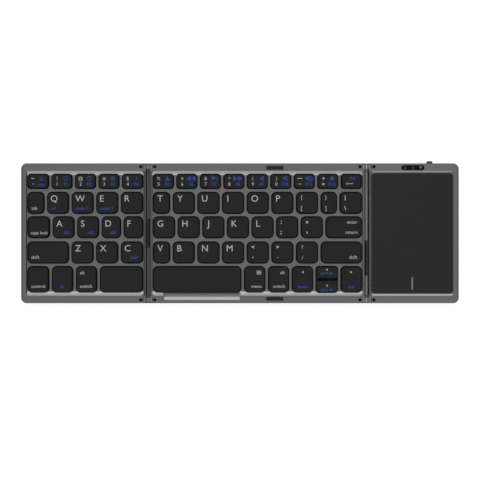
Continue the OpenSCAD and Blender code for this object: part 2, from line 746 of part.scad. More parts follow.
// Rubber sheet with one dome under each key
module dome_sheet(p) {
    top = sheet_z + sheet_t;
    rounded_block(plate_lo(p), plate_hi(p), sheet_z, top, plate_radii);
    for (r = [0:last_row]) for (k = [0:len(row_widths[p][r]) - 1])
        for (half = is_pair(p, r, k) ? [UPPER, LOWER] : [WHOLE]) {
            middle = (key_lo(p, r, k, half) + key_hi(p, r, k, half)) / 2;
            translate([middle.x, middle.y, top - sheet_t / 2]) cylinder(r1 = dome_r,
                r2 = dome_r - dome_taper, h = cap_top_z - cap_top_t - dome_clear - top + sheet_t / 2);
        }
}

// One keycap: a bevelled top over a thin skirt
module keycap(p, r, k, half) {
    lo = key_lo(p, r, k, half);
    hi = key_hi(p, r, k, half);
    radii = key_radii(p, r, k, half);
    in = [cap_wall, cap_wall];
    difference() {
        bevelled_block(lo, hi, cap_low_z, cap_top_z, cap_bevel, radii);
        rounded_block(lo + in, hi - in, cap_low_z - over, cap_top_z - cap_top_t,
            [for (i = [0:3]) max(radii[i] - cap_wall, inner_r)]);
    }
}
module keys(p, r, from, to) color([0.15, 0.15, 0.16]) for (k = [from:to]) keycap(p, r, k, WHOLE);

// Two-axis hinge: links on pins, and a spine that fills the gap between the panels
module spine(h) translate([hinge_x[h], 0, 0]) difference() {
    union() {
        along_y(-half_d, half_d) bevel_outline(-rib_w / 2, rib_w / 2, spine_low, spine_top, spine_bevel);
        // Wide base that closes the two grooves from below
        along_y(-half_d, half_d) bevel_outline(-base_w / 2, base_w / 2, spine_low, base_top, base_bevel);
    }
    both_edges() box([-base_w, link_y[0], axis_z - link_r], [base_w, link_y[1], rim_top + over]);
    box([-base_w, sleeve_y[h] - sleeve_l[h] / 2, notch_z],
        [base_w, sleeve_y[h] + sleeve_l[h] / 2, rim_top + over]);
}
module links(h) both_edges() translate([hinge_x[h], 0, axis_z]) along_y(link_y[0], link_y[1])
    difference() {
        pill(pin_gap + 2 * link_r, 2 * link_r);
        for (s = [-1, 1]) translate([s * pin_gap / 2, 0]) circle(pin_r + link_grip);
    }
module pins(h) both_edges() for (s = [-1, 1]) translate([hinge_x[h] + s * pin_gap / 2, pin_y[1], axis_z])
    rotate([90, 0, 0]) cylinder(r = pin_r, h = pin_l);
module sleeve(h) translate([hinge_x[h], 0, 0])
    along_y(sleeve_y[h] - sleeve_l[h] / 2, sleeve_y[h] + sleeve_l[h] / 2)
        bevel_outline(-sleeve_w / 2, sleeve_w / 2, sleeve_z, spine_top, base_bevel);
module flex_cable(h) {
    span = sleeve_l[h] / 2 - cable_edge;
    reach = panel_gap / 2 + cable_reach;
    box([hinge_x[h] - reach, sleeve_y[h] - span, cable_z],
        [hinge_x[h] + reach, sleeve_y[h] + span, cable_z + cable_t]);
}

// Top of the right wing: rim, touchpad opening and the places of switch, socket and lights
module touch_frame() {
    difference() {
        panel_top(RIGHT);
        rounded_block([pad_x[0] - pad_clear, -pad_y - pad_clear], [pad_x[1] + pad_clear,
            pad_y + pad_clear], pad_low, rim_top + over, [for (i = [0:3]) pad_r + pad_clear]);
        rounded_block([pad_x[0] + ledge_w, ledge_w - pad_y], [pad_x[1] - ledge_w, pad_y - ledge_w],
            deck_under_z - over, rim_top + over, [for (i = [0:3]) pad_r]);
        sloped_pocket(pad_x[0] - pad_clear - deck_side, pad_x[1] + pad_clear + deck_side,
            -bezel_y, bezel_y, bezel_z, rim_top, bezel_side, pad_bevel);
        socket_room();
        translate([window_x, window_y, window_low]) linear_extrude(rim_top)
            pill(window_w + 2 * window_clear, window_d + 2 * window_clear);
        lights(light_r + light_clear, deck_under_z - over, window_low + over);
        translate([switch_x + switch_travel / 2, 0, switch_z]) along_y(half_d - wall - over, half_d + over)
            square([nub_w + switch_travel + 2 * nub_clear, nub_h + 2 * nub_clear], center = true);
    }
}
module lights(r, z0, z1) for (i = [-1:1]) translate([window_x + i * light_pitch, window_y, z0])
    cylinder(r = r, h = z1 - z0);
// Room for the charging socket, through the wall and both halves of the wing
module socket_room() {
    half_w = socket_w / 2 + socket_clear;
    rear = half_d - wall;
    translate([socket_x, 0, socket_z]) along_y(rear - over, half_d + over)
        pill(2 * half_w, socket_h + 2 * socket_clear);
    box([socket_x - half_w, socket_back - socket_clear, floor_z],
        [socket_x + half_w, rear, socket_z + socket_h / 2 + socket_clear]);
    // The tabs at its sides
    box([socket_x - half_w - tab_w, socket_back - socket_clear, floor_z],
        [socket_x + half_w + tab_w, rear, deck_under_z]);
}
module touch_face() rounded_block([pad_x[0], -pad_y], [pad_x[1], pad_y], pad_low, pad_top,
    [pad_r, pad_r, pad_r, pad_r]);
module sensor_board() {
    lo = [pad_x[0] + sensor_edge, sensor_edge - pad_y];
    hi = [pad_x[1] - sensor_edge, pad_y - sensor_edge];
    rounded_block(lo, hi, sensor_z, pad_low, [pad_r, pad_r, pad_r, pad_r]);
    // Touch controller and its connector, on the underside behind the battery
    chip([battery_x - 14, battery_hi.y + 7], sensor_z - touch_chip.z, touch_chip);
    chip([battery_x + 12, battery_hi.y + 8], sensor_z - touch_plug.z, touch_plug);
}
module chip(at, z, size)
    box([at.x - size.x / 2, at.y - size.y / 2, z], [at.x + size.x / 2, at.y + size.y / 2, z + size.z]);
// Circuit board with controller, radio module, lights and slide switch
module control_board() {
    difference() {
        box([board_x[0], board_front, board_z], [board_x[1], board_rear, board_top]);
        stub_places() translate([0, 0, board_z - over])
            cylinder(r = stub_r + stub_clear, h = board_t + 2 * over);
        box([socket_x - socket_w / 2 - socket_clear, socket_back - socket_clear, board_z - over],
            [socket_x + socket_w / 2 + socket_clear, half_d, board_top + over]);
    }
    chip([window_x - 8, chip_row], board_top, processor);
    chip([window_x + 6, chip_row], board_top, radio);
    for (i = [-1:1]) chip([window_x + i * light_pitch, window_y - 0.2], board_top, light_chip);
    difference() {
        chip([switch_x + switch_travel / 2, switch_y], board_top, switch_body);
        chip([switch_x + switch_travel / 2, board_rear - 0.2], lever_z - groove.z / 2, groove);
    }
}
module stub_places() for (x = [board_x[0] + standoff_inset.x, board_x[1] - standoff_inset.x])
    translate([x, board_front + standoff_inset.y, 0]) children();
module board_standoffs() {
    foot_z = floor_z - root;
    stub_places() translate([0, 0, foot_z]) {
        cylinder(r = standoff_r, h = board_z - foot_z);
        cylinder(r = stub_r, h = board_top - foot_z);
    }
    for (x = [board_x[0] + standoff_inset.x, board_x[1] - standoff_inset.x])
        translate([x, board_rear - standoff_inset.z, foot_z])
            cylinder(r = standoff_r, h = board_z - foot_z);
}
// Flat pouch cell with folded side seams and a protection strip at its rear end
module pouch_cell() {
    seam_w = 1.5;
    seam_t = 0.4;
    strip_l = 5;
    strip_t = 1.4;
    rear = battery_hi.y - strip_l;
    bevelled_block([battery_lo.x + seam_w, battery_lo.y], [battery_hi.x - seam_w, rear + 1],
        floor_z, floor_z + battery_t, 0.6, [for (i = [0:3]) battery_r]);
    box([battery_lo.x, battery_lo.y + 1, floor_z + 2 * seam_t], [battery_hi.x, rear, floor_z + 3 * seam_t]);
    box([battery_lo.x + 4, rear, floor_z], [battery_hi.x - 4, battery_hi.y, floor_z + strip_t]);
}
// Fence that locates the battery on the back cover
module battery_fence() {
    lo = battery_lo - [fence_gap, fence_gap];
    hi = battery_hi + [fence_gap, fence_gap];
    lead_w = 10;
    difference() {
        rounded_block(lo - [fence_t, fence_t], hi + [fence_t, fence_t], floor_z - root,
            floor_z + fence_h, [for (i = [0:3]) 1 + fence_t]);
        rounded_block(lo, hi, floor_z - over, floor_z + fence_h + over, [1, 1, 1, 1]);
        // Way out for the battery's leads
        box([battery_x - lead_w / 2, hi.y - over, floor_z],
            [battery_x + lead_w / 2, hi.y + fence_t + over, floor_z + fence_h + over]);
    }
}
module right_cover() {
    difference() {
        back_cover(RIGHT);
        socket_room();
        // Room for the knob's flange behind the lip
        box([switch_x - flange_w / 2 - 2 * nub_clear, half_d - wall - 2 * flange_t,
            switch_z - flange_h / 2 - nub_clear],
            [switch_x + flange_w / 2 + switch_travel + 2 * nub_clear, half_d - wall, rim_top]);
    }
    board_standoffs();
    battery_fence();
}
// Charging socket: an oval steel tube with a back wall and a tongue
module socket() translate([socket_x, 0, socket_z]) {
    difference() {
        along_y(socket_back, socket_mouth) pill(socket_w, socket_h);
        along_y(socket_back + socket_back_t, socket_mouth + over)
            pill(socket_w - 2 * socket_wall, socket_h - 2 * socket_wall);
    }
    box([-tongue.x / 2, socket_back + socket_back_t / 2, -tongue.y / 2],
        [tongue.x / 2, socket_mouth - tongue_inset, tongue.y / 2]);
    // Tabs that are soldered to the board
    tab = [tab_w + tab_overlap, 1.2, tab_t];
    for (s = [-1, 1]) for (y = [1, 3.6])
        chip([s * (socket_w / 2 + tab_w / 2 - tab_overlap), socket_back + y], board_top - socket_z, tab);
}
module window() {
    translate([window_x, window_y, window_low]) linear_extrude(window_top - window_low)
        pill(window_w, window_d);
    lights(light_r, deck_under_z - light_past, window_low + root);
}
// Sliding knob: nub outside, flange behind the wall
module knob() translate([switch_x, 0, switch_z]) {
    inner = half_d - wall - nub_clear;
    bevelled_nub(inner - nub_clear, half_d + nub_out);
    along_y(inner - flange_t, inner) square([flange_w, flange_h], center = true);
    // Lever that reaches into the switch on the board
    translate([0, 0, lever_z - switch_z])
        box([-lever_w / 2, lever_end, -lever_t / 2], [lever_w / 2, inner - flange_t / 2, lever_t / 2]);
}
module bevelled_nub(y0, y1) intersection() {
    half_w = nub_w / 2;
    along_y(y0, y1) square([nub_w, nub_h], center = true);
    linear_extrude(2 * nub_h, center = true) polygon([[-half_w, y0], [half_w, y0],
        [half_w, y1 - nub_bevel], [half_w - nub_bevel, y1], [nub_bevel - half_w, y1],
        [-half_w, y1 - nub_bevel]]);
}
module pads() rest_places() linear_extrude(rest_top - rim_top + rest_seat) rest_outline();
module rest_places() both_edges() translate([rest_x, rest_y, rim_top - rest_seat]) children();
module rest_outline() rounded([-rest_l / 2, -rest_w / 2], [rest_l / 2, rest_w / 2],
    [for (i = [0:3]) rest_r]);

shell_grey = [0.41, 0.41, 0.42];
steel_grey = [0.62, 0.63, 0.65];
rubber_black = [0.07, 0.07, 0.07];
sheet_black = [0.1, 0.1, 0.1];
board_green = [0.08, 0.3, 0.18];

module mid_deck() color(shell_grey) difference() {
    key_deck(MIDDLE);
    rest_places() linear_extrude(over) rest_outline();
    thumb_relief();
}
// Notch in the front rim that lets a thumb reach the space bar: a hollow floor, then a slope
module thumb_relief() {
    x0 = panel_x[MIDDLE][0] + relief_from;
    slope_y = relief_rim + relief_bevel - half_d;
    hollow = -field_y - cap_clear - slope_y;
    steps = 8;
    slope_z = deck_z + relief_lift;
    rise = (rim_top + over - slope_z) / (rim_top - slope_z);
    along_x(x0, x0 + relief_w) polygon(concat(
        [for (i = [0:steps]) [slope_y + hollow * i / steps, deck_z + relief_lift * pow(1 - i / steps, 2)]],
        [[-field_y, deck_z], [-field_y, rim_top + over], [slope_y - relief_bevel * rise, rim_top + over]]));
}

color(shell_grey) key_cover(MIDDLE);  // mid_back_cover
mid_deck();
color(steel_grey) base_plate(MIDDLE);  // mid_base_plate
color(sheet_black) dome_sheet(MIDDLE);  // mid_dome_sheet
color(rubber_black) corner_screws(MIDDLE);  // mid_screws
color(rubber_black) feet(MIDDLE);  // mid_feet
color(rubber_black) pads();  // rest_pads
color(shell_grey) key_cover(LEFT);  // left_back_cover
color(shell_grey) key_deck(LEFT);  // left_deck
color(steel_grey) base_plate(LEFT);  // left_base_plate
color(sheet_black) dome_sheet(LEFT);  // left_dome_sheet
color(rubber_black) corner_screws(LEFT);  // left_screws
color(rubber_black) feet(LEFT);  // left_feet
color(shell_grey) right_cover();  // right_back_cover
color(shell_grey) touch_frame();  // right_frame
color([0.17, 0.17, 0.18]) touch_face();  // touchpad
color(board_green) sensor_board();  // touch_sensor_board
color(board_green) control_board();  // main_board
color([0.7, 0.72, 0.75]) pouch_cell();  // battery
color(steel_grey) socket();  // charging_socket
color(rubber_black) window();  // light_window
color(rubber_black) corner_screws(RIGHT);  // right_screws
color(rubber_black) feet(RIGHT);  // right_feet
color(rubber_black) knob();  // power_knob
color(shell_grey) spine(LEFT);  // left_spine
color(shell_grey) links(LEFT);  // left_links
color(steel_grey) pins(LEFT);  // left_pins
color(rubber_black) sleeve(LEFT);  // left_sleeve
color(sheet_black) flex_cable(LEFT);  // left_flex_cable
color(shell_grey) spine(MIDDLE);  // right_spine
color(shell_grey) links(MIDDLE);  // right_links
color(steel_grey) pins(MIDDLE);  // right_pins
color(rubber_black) sleeve(MIDDLE);  // right_sleeve
color(sheet_black) flex_cable(MIDDLE);  // right_flex_cable
keys(LEFT, 0, 0, 4);  // keys_number_left
keys(MIDDLE, 0, 0, 7);  // keys_number_mid
keys(LEFT, 1, 1, 4);  // keys_upper_left
keys(MIDDLE, 1, 0, 8);  // keys_upper_mid
keys(LEFT, 2, 1, 4);  // keys_home_left
keys(MIDDLE, 2, 0, 6);  // keys_home_mid
keys(LEFT, 3, 1, 3);  // keys_lower_left
keys(MIDDLE, 3, 0, 6);  // keys_lower_mid
keys(LEFT, 1, 0, 0);  // key_tab
keys(LEFT, 2, 0, 0);  // key_caps_lock
keys(LEFT, 3, 0, 0);  // key_shift_left
keys(MIDDLE, 3, 7, 7);  // key_shift_right
keys(LEFT, 4, 0, 0);  // key_control
keys(LEFT, 4, 1, 1);  // key_fn
keys(LEFT, 4, 2, 2);  // key_alt_left
keys(MIDDLE, 4, 2, 2);  // key_alt_right
keys(MIDDLE, 4, 1, 1);  // key_menu
keys(LEFT, 4, 3, 3);  // key_space_left
keys(MIDDLE, 4, 0, 0);  // key_space_right
keys(MIDDLE, 2, 7, 7);  // key_enter
keys(MIDDLE, 0, 8, 8);  // key_backspace
keys(MIDDLE, 4, 3, 3);  // key_arrow_left
color([0.15, 0.15, 0.16]) keycap(MIDDLE, 4, arrow_pair, UPPER);  // key_arrow_up
color([0.15, 0.15, 0.16]) keycap(MIDDLE, 4, arrow_pair, LOWER);  // key_arrow_down
keys(MIDDLE, 4, 5, 5);  // key_arrow_right
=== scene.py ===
import math

import bmesh
import bpy
from mathutils import Matrix, Vector


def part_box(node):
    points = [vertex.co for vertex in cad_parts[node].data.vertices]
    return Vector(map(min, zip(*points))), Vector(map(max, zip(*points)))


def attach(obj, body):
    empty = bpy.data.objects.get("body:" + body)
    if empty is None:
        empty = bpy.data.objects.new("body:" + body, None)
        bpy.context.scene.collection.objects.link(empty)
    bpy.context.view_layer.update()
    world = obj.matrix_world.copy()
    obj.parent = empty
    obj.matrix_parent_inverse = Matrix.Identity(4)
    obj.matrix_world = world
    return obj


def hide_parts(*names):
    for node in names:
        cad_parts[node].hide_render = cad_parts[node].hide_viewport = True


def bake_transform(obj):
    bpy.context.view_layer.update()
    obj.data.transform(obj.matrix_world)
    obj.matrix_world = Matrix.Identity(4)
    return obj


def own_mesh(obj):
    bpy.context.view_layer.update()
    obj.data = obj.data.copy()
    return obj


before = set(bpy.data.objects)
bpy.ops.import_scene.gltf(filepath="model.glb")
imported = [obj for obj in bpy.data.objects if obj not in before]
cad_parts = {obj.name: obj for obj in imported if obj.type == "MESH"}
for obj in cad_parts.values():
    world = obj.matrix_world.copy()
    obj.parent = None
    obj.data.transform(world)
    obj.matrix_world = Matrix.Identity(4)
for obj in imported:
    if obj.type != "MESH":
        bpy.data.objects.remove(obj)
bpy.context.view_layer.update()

# Sizes in metres; the places of panels, keys and screws are read off the frame
MM = 0.001
# Rims of the panels, the recess that the keys stand in and its end slopes, and the strips beside the hinges
FRONT_RIM = 5.2 * MM
SIDE_RIM = 3.95 * MM
RECESS_DEPTH = 1.4 * MM
RECESS_SLOPE = 3.0 * MM
HINGE_STRIP = 1.95 * MM
# Slope round the touchpad, and its height
PAD_SLOPE = 1.3 * MM
PAD_DEPTH = 0.47 * MM
# Thumb relief: the rim in front of it, its slope, and where it starts and how long it is
RELIEF_RIM = 2.3 * MM
RELIEF_SLOPE = 2.1 * MM
RELIEF_FROM = 9.95 * MM
RELIEF_LENGTH = 53.7 * MM
# Half the length of a hinge's links
LINK_END = 2.7 * MM
# Points closer than this are one
DOUBLE = 0.001 * MM

RIM_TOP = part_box("mid_deck")[1].z
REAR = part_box("mid_deck")[1].y
RIM_Y = REAR - FRONT_RIM
DECK_Z = RIM_TOP - RECESS_DEPTH
LEFT_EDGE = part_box("left_deck")[0].x
LEFT_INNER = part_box("left_deck")[1].x
MID_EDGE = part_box("mid_deck")[0].x
MID_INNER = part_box("mid_deck")[1].x
RIGHT_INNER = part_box("right_frame")[0].x


def linked(name, data):
    """A new object in the scene, at the origin."""
    piece = bpy.data.objects.new(name, data)
    bpy.context.scene.collection.objects.link(piece)
    return piece


def piece_of(work, name, material, crease=None):
    """Turns a mesh that is being worked on into an object, tidied if there is a crease in degrees."""
    mesh = bpy.data.meshes.new(name)
    work.to_mesh(mesh)
    work.free()
    if crease is not None:
        tidy(mesh, crease)
    mesh.materials.append(material)
    return linked(name, mesh)


def tidy(mesh, crease=35):
    """Merges doubles, points the faces outwards and shades smooth between creases."""
    work = bmesh.new()
    work.from_mesh(mesh)
    bmesh.ops.remove_doubles(work, verts=work.verts, dist=DOUBLE)
    bmesh.ops.recalc_face_normals(work, faces=work.faces)
    work.to_mesh(mesh)
    work.free()
    mesh.shade_smooth()
    mesh.set_sharp_from_angle(angle=math.radians(crease))


# Node trees

class Wire:
    """An output in a node tree. Arithmetic on wires adds Math nodes to that tree."""

    def __init__(self, graph, socket):
        self.graph = graph
        self.socket = socket

    def math(self, operation, *values):
        return self.graph.node("ShaderNodeMath", {"operation": operation}, dict(enumerate(values)))

    def __add__(self, other):
        return self.math("ADD", self, other)

    def __radd__(self, other):
        return self.math("ADD", other, self)

    def __sub__(self, other):
        return self.math("SUBTRACT", self, other)

    def __rsub__(self, other):
        return self.math("SUBTRACT", other, self)

    def __mul__(self, other):
        return self.math("MULTIPLY", self, other)

    def __rmul__(self, other):
        return self.math("MULTIPLY", other, self)

    def __truediv__(self, other):
        return self.math("DIVIDE", self, other)

    def __abs__(self):
        return self.math("ABSOLUTE", self)

    def wave(self):
        return self.math("SINE", self)

    def or_more(self, other):
        return self.math("MAXIMUM", self, other)


class Graph:
    """Nodes and links of one tree, with one way to add a node."""

    def __init__(self, tree):
        self.tree = tree

    def node(self, kind, settings=None, inputs=None, out=0):
        made = self.tree.nodes.new(kind)
        for name, value in (settings or {}).items():
            setattr(made, name, value)
        for name, value in (inputs or {}).items():
            self.feed(made.inputs[name], value)
        return Wire(self, made.outputs[out])

    def feed(self, socket, value):
        if isinstance(value, list):
            for one in value:
                self.feed(socket, one)
        elif isinstance(value, Wire):
            self.tree.links.new(value.socket, socket)
        else:
            socket.default_value = value


class Finish(Graph):
    """A material on the object's own coordinates, with the few patterns that its finishes are mixed from.
    Constants are named after the shader's sockets, in small letters with underscores."""

    def __init__(self, name, **constants):
        self.material = bpy.data.materials.new(name)
        self.material.use_nodes = True
        super().__init__(self.material.node_tree)
        self.shader = self.tree.nodes["Principled BSDF"]
        for socket, value in constants.items():
            title = socket.replace("_", " ").title().replace("Ior", "IOR")
            self.shader.inputs[title].default_value = value
        self.place = self.node("ShaderNodeTexCoord", out="Object")
        split = self.tree.nodes.new("ShaderNodeSeparateXYZ")
        self.tree.links.new(self.place.socket, split.inputs[0])
        self.x, self.y, self.z = (Wire(self, split.outputs[i]) for i in range(3))

    def noise(self, grain, detail=2, stretch=(1, 1, 1)):
        """Noise from 0 to 1 whose blotches are about grain metres wide."""
        place = self.node("ShaderNodeMapping", {}, {"Vector": self.place, "Scale": stretch})
        return self.node("ShaderNodeTexNoise", {}, {
            "Vector": place, "Scale": 1 / grain, "Detail": detail}, "Fac")

    def ramp(self, value, start, end, low=0.0, high=1.0):
        """Runs smoothly from low to high as value goes from start to end."""
        return self.node("ShaderNodeMapRange", {"interpolation_type": "SMOOTHSTEP"}, {
            "Value": value, "From Min": start, "From Max": end, "To Min": low, "To Max": high}, "Result")

    def band(self, value, low, high, soft=0.02 * MM):
        """1 between low and high, 0 outside."""
        above = self.ramp(value, low - soft, low + soft)
        return above * self.ramp(value, high - soft, high + soft, 1.0, 0.0)

    def mix(self, share, a, b):
        """The colour a where share is 0, b where it is 1."""
        a, b = (c if isinstance(c, Wire) else (*c, 1) for c in (a, b))
        return self.node("ShaderNodeMix", {"data_type": "RGBA"}, {0: share, 6: a, 7: b}, 2)

    def paint(self, color, roughness, metallic=None, height=None, bump=0.01 * MM):
        """Links what is given to the shader. bump is the depth of a height that goes from 0 to 1."""
        self.feed(self.shader.inputs["Base Color"], color)
        self.feed(self.shader.inputs["Roughness"], roughness)
        if metallic is not None:
            self.feed(self.shader.inputs["Metallic"], metallic)
        if height is not None:
            normal = self.node("ShaderNodeBump", {}, {"Distance": bump, "Height": height}, "Normal")
            self.feed(self.shader.inputs["Normal"], normal)
        return self.material


class Recipe(Graph):
    """A geometry node tree with named inputs, and the mesh that it grows on a set of points."""

    KINDS = {float: "NodeSocketFloat", bpy.types.Material: "NodeSocketMaterial"}

    def __init__(self, name, **values):
        super().__init__(bpy.data.node_groups.new(name, "GeometryNodeTree"))
        self.tree.interface.new_socket("Geometry", in_out="INPUT", socket_type="NodeSocketGeometry")
        self.tree.interface.new_socket("Geometry", in_out="OUTPUT", socket_type="NodeSocketGeometry")
        self.values = {}
        for key, value in values.items():
            kind = self.KINDS[type(value)]
            socket = self.tree.interface.new_socket(key, in_out="INPUT", socket_type=kind)
            self.values[socket.identifier] = value
        entry = self.tree.nodes.new("NodeGroupInput")
        self.given = {s.name: Wire(self, s) for s in entry.outputs if s.name}
        self.exit = self.tree.nodes.new("NodeGroupOutput")

    def vector(self, x=0.0, y=0.0, z=0.0):
        return self.node("ShaderNodeCombineXYZ", {}, {0: x, 1: y, 2: z})

    def raised(self, shape, z):
        return self.node("GeometryNodeTransform", {}, {"Geometry": shape, "Translation": self.vector(z=z)})

    def close(self, shape):
        """Puts the shape on every point, makes it real and gives it its material."""
        many = self.node("GeometryNodeInstanceOnPoints", {}, {
            "Points": self.given["Geometry"], "Instance": shape})
        real = self.node("GeometryNodeRealizeInstances", {}, {"Geometry": many})
        coated = self.node("GeometryNodeSetMaterial", {}, {
            "Geometry": real, "Material": self.given["finish"]})
        self.feed(self.exit.inputs[0], coated)
        return self

    def grow(self, name, points):
        """A plain mesh object with the recipe's shape at each point."""
        mesh = bpy.data.meshes.new(name)
        mesh.from_pydata([tuple(p) for p in points], [], [])
        piece = linked(name, mesh)
        modifier = piece.modifiers.new("grow", "NODES")
        modifier.node_group = self.tree
        for identifier, value in self.values.items():
            modifier[identifier] = value
        grown = bpy.data.meshes.new_from_object(piece.evaluated_get(bpy.context.evaluated_depsgraph_get()))
        piece.modifiers.remove(modifier)
        piece.data = grown
        grown.name = name
        tidy(grown)
        return piece


# Finishes

# Metal of the decks and the right frame; top and foot of its cut slopes, their own brighter finish under a
# painted highlight that grows to the foot, the top also being the painted highlight on the links' ends; and
# the painted shade of the strips beside a hinge
GREY = (0.146, 0.146, 0.149)
BRIGHT_GREY = (0.157, 0.157, 0.16)
CUT_TOP_AND_LINK_HIGHLIGHT = (0.365, 0.365, 0.37)
CUT_FOOT_HIGHLIGHT = (0.74, 0.74, 0.75)
HINGE_PAINTED_SHADE = (0.040, 0.040, 0.042)
# Top of the keycaps, and the painted shade on their rolled edge
KEY_BLACK = (0.0187, 0.0189, 0.0196)
KEY_EDGE_SHADE = (0.002, 0.002, 0.0022)
# How far in from its outline a cap's top is free of the painted edge shade
PLAIN_INSET = 1.3 * MM
# How far the colour of a cut stays off the flat faces above and below it
CUT_MARGIN = 0.04 * MM


def anodised(name, cuts=None, shade=None, tone=GREY):
    """Bead-blasted, anodised aluminium. cuts gives the mask of the slopes cut after blasting and the share
    of the way to their foot, where a painted highlight grows over their own brighter finish; shade gives
    the mask of painted shade on the rolled edges beside a hinge."""
    f = Finish(name, metallic=1.0)
    grain = f.noise(0.12 * MM, 3)
    cloud = f.noise(9 * MM, 2)
    color = f.mix(0.9 + 0.12 * grain + 0.08 * cloud, (0, 0, 0), tone)
    rough = 0.36 + 0.08 * grain + 0.04 * cloud
    metal = None
    if shade is not None:
        # Painted shade on the strips beside a hinge
        color = f.mix(shade(f), color, HINGE_PAINTED_SHADE)
    if cuts is not None:
        # Cut slopes: their own brighter finish, with a painted highlight that grows towards their foot
        mask, foot = cuts(f)
        color = f.mix(mask, color, f.mix(foot, CUT_TOP_AND_LINK_HIGHLIGHT, CUT_FOOT_HIGHLIGHT))
        rough = rough + 0.12 * mask
        metal = 1 - 0.65 * mask
    return f.paint(color, rough, metal, height=grain, bump=0.004 * MM)


def key_deck_cuts(x_from, x_to, relief=False):
    """Slopes in front of and behind the keys, between two ends, whose painted highlight is weaker at the
    foot of the rear ones. With relief, the slope in front of the thumb relief and a faint painted light on
    the floor that leads up to it take their place there."""
    def cuts(f):
        depth = abs(f.y)
        foot = f.ramp(depth, RIM_Y, RIM_Y - RECESS_SLOPE) * f.ramp(f.y, -MM, MM, 1.0, 0.8)
        mask = f.band(depth, RIM_Y - RECESS_SLOPE, RIM_Y) * f.band(f.x, x_from, x_to)
        if relief:
            start = MID_EDGE + RELIEF_FROM
            reach = f.band(f.x, start, start + RELIEF_LENGTH) * f.ramp(f.y, 0, -MM)
            low = RELIEF_RIM - REAR
            bend = low + RELIEF_SLOPE
            # Painted light on the relief's floor, rising towards its slope
            floor = 0.27 * f.ramp(f.y, bend + 2.2 * MM, bend)
            cut = f.band(f.y, low, bend).or_more(floor * f.ramp(f.y, low, low + 0.1 * MM))
            mask = mask * (1 - reach) + cut * reach
            # A stronger painted highlight at the foot of the relief's slope
            foot = foot + 0.55 * reach * f.ramp(f.y, bend + 2 * MM, bend)
        return mask * f.band(f.z, DECK_Z + CUT_MARGIN, RIM_TOP - CUT_MARGIN), foot
    return cuts


def pad_cuts(f):
    """Slopes in front of and behind the touchpad, the front one lightened by a painted highlight."""
    low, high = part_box("touchpad")
    foot = f.ramp(f.y, 0, -RIM_Y)
    front = f.band(f.y, -RIM_Y, PAD_SLOPE + 0.1 * MM - RIM_Y)
    rear = f.band(f.y, RIM_Y - PAD_SLOPE + 0.4 * MM, RIM_Y)
    mask = (front + rear) * f.band(f.x, low.x - 0.5 * MM, high.x + 0.5 * MM)
    return mask * f.band(f.z, RIM_TOP - PAD_DEPTH, RIM_TOP - CUT_MARGIN), 0.35 * foot


def hinge_shade(edge, side, dark, start, full, lit=0.0, rolled=0.0):
    """Mask of painted shade on the strip beside a hinge at edge, side being the way to the panel. It grows
    from start to full, and fades again within lit of the edge, or darkens there by rolled, as painted shade
    on the rolled edge."""
    def shade(f):
        away = (f.x - edge) * side
        mask = dark * f.ramp(away, start, full)
        if lit:
            mask = mask * f.ramp(away, 0.3 * lit, lit, 0.25, 1.0)
        if rolled:
            mask = mask + rolled * f.ramp(away, 0.8 * MM, 0.2 * MM)
        return mask * f.ramp(abs(f.y), RIM_Y + 0.6 * MM, RIM_Y - 0.6 * MM)
    return shade


def both_shades(one, other):
    return lambda f: one(f).or_more(other(f))


def bridge_metal(side, base, dark, rib, plate, lean):
    """Metal of a hinge's bridge: a base between the panels, a rib in painted shade but for a painted
    highlight line, off centre by lean, and the plates of the links with a painted highlight on their rolled
    ends."""
    f = Finish(side + "_bridge_metal")
    low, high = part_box(side + "_spine")
    off = f.x - (low.x + high.x) / 2
    # Painted highlight along the rib's top, off centre by lean
    lit = f.ramp(abs(off - lean), 0.45 * MM, 0.2 * MM)
    grain = f.noise(0.12 * MM, 3)
    inside = f.ramp(abs(f.y), RIM_Y + 0.2 * MM, RIM_Y - 0.2 * MM)
    # Below, the base; above, the rib in painted shade but for its painted highlight
    spine = f.mix(f.ramp(f.z, RIM_TOP - 3 * MM, RIM_TOP - 1.5 * MM), base, f.mix(lit, dark, rib))
    # Painted highlight on the links' rolled ends
    end = f.ramp(abs(off), LINK_END - 0.5 * MM, LINK_END) * (1 - inside)
    link = f.mix(end, f.mix(0.5 * lit, plate, rib), CUT_TOP_AND_LINK_HIGHLIGHT)
    color = f.mix(0.9 + 0.15 * grain, (0, 0, 0), f.mix(inside, link, spine))
    return f.paint(color, 0.34 + 0.1 * grain, 1 - 0.65 * end, height=grain, bump=0.004 * MM)


def moulded(name, color, roughness, grain=0.18 * MM, bump=0.008 * MM, **constants):
    """Moulded plastic or rubber with a fine sparked texture."""
    f = Finish(name, **constants)
    spark = f.noise(grain, 3)
    cloud = f.noise(6 * MM, 2)
    dark = tuple(c * 0.78 for c in color)
    light = tuple(c * 1.22 for c in color)
    return f.paint(f.mix(0.5 * spark + 0.5 * cloud, dark, light), roughness - 0.05 + 0.1 * spark,
                   height=spark, bump=bump)


def ink(name, color):
    """Printed ink with a fine speckle."""
    f = Finish(name, specular_ior_level=0.2)
    speck = f.noise(0.08 * MM, 2)
    return f.paint(f.mix(speck, tuple(0.9 * c for c in color), color), 0.5 + 0.1 * speck)


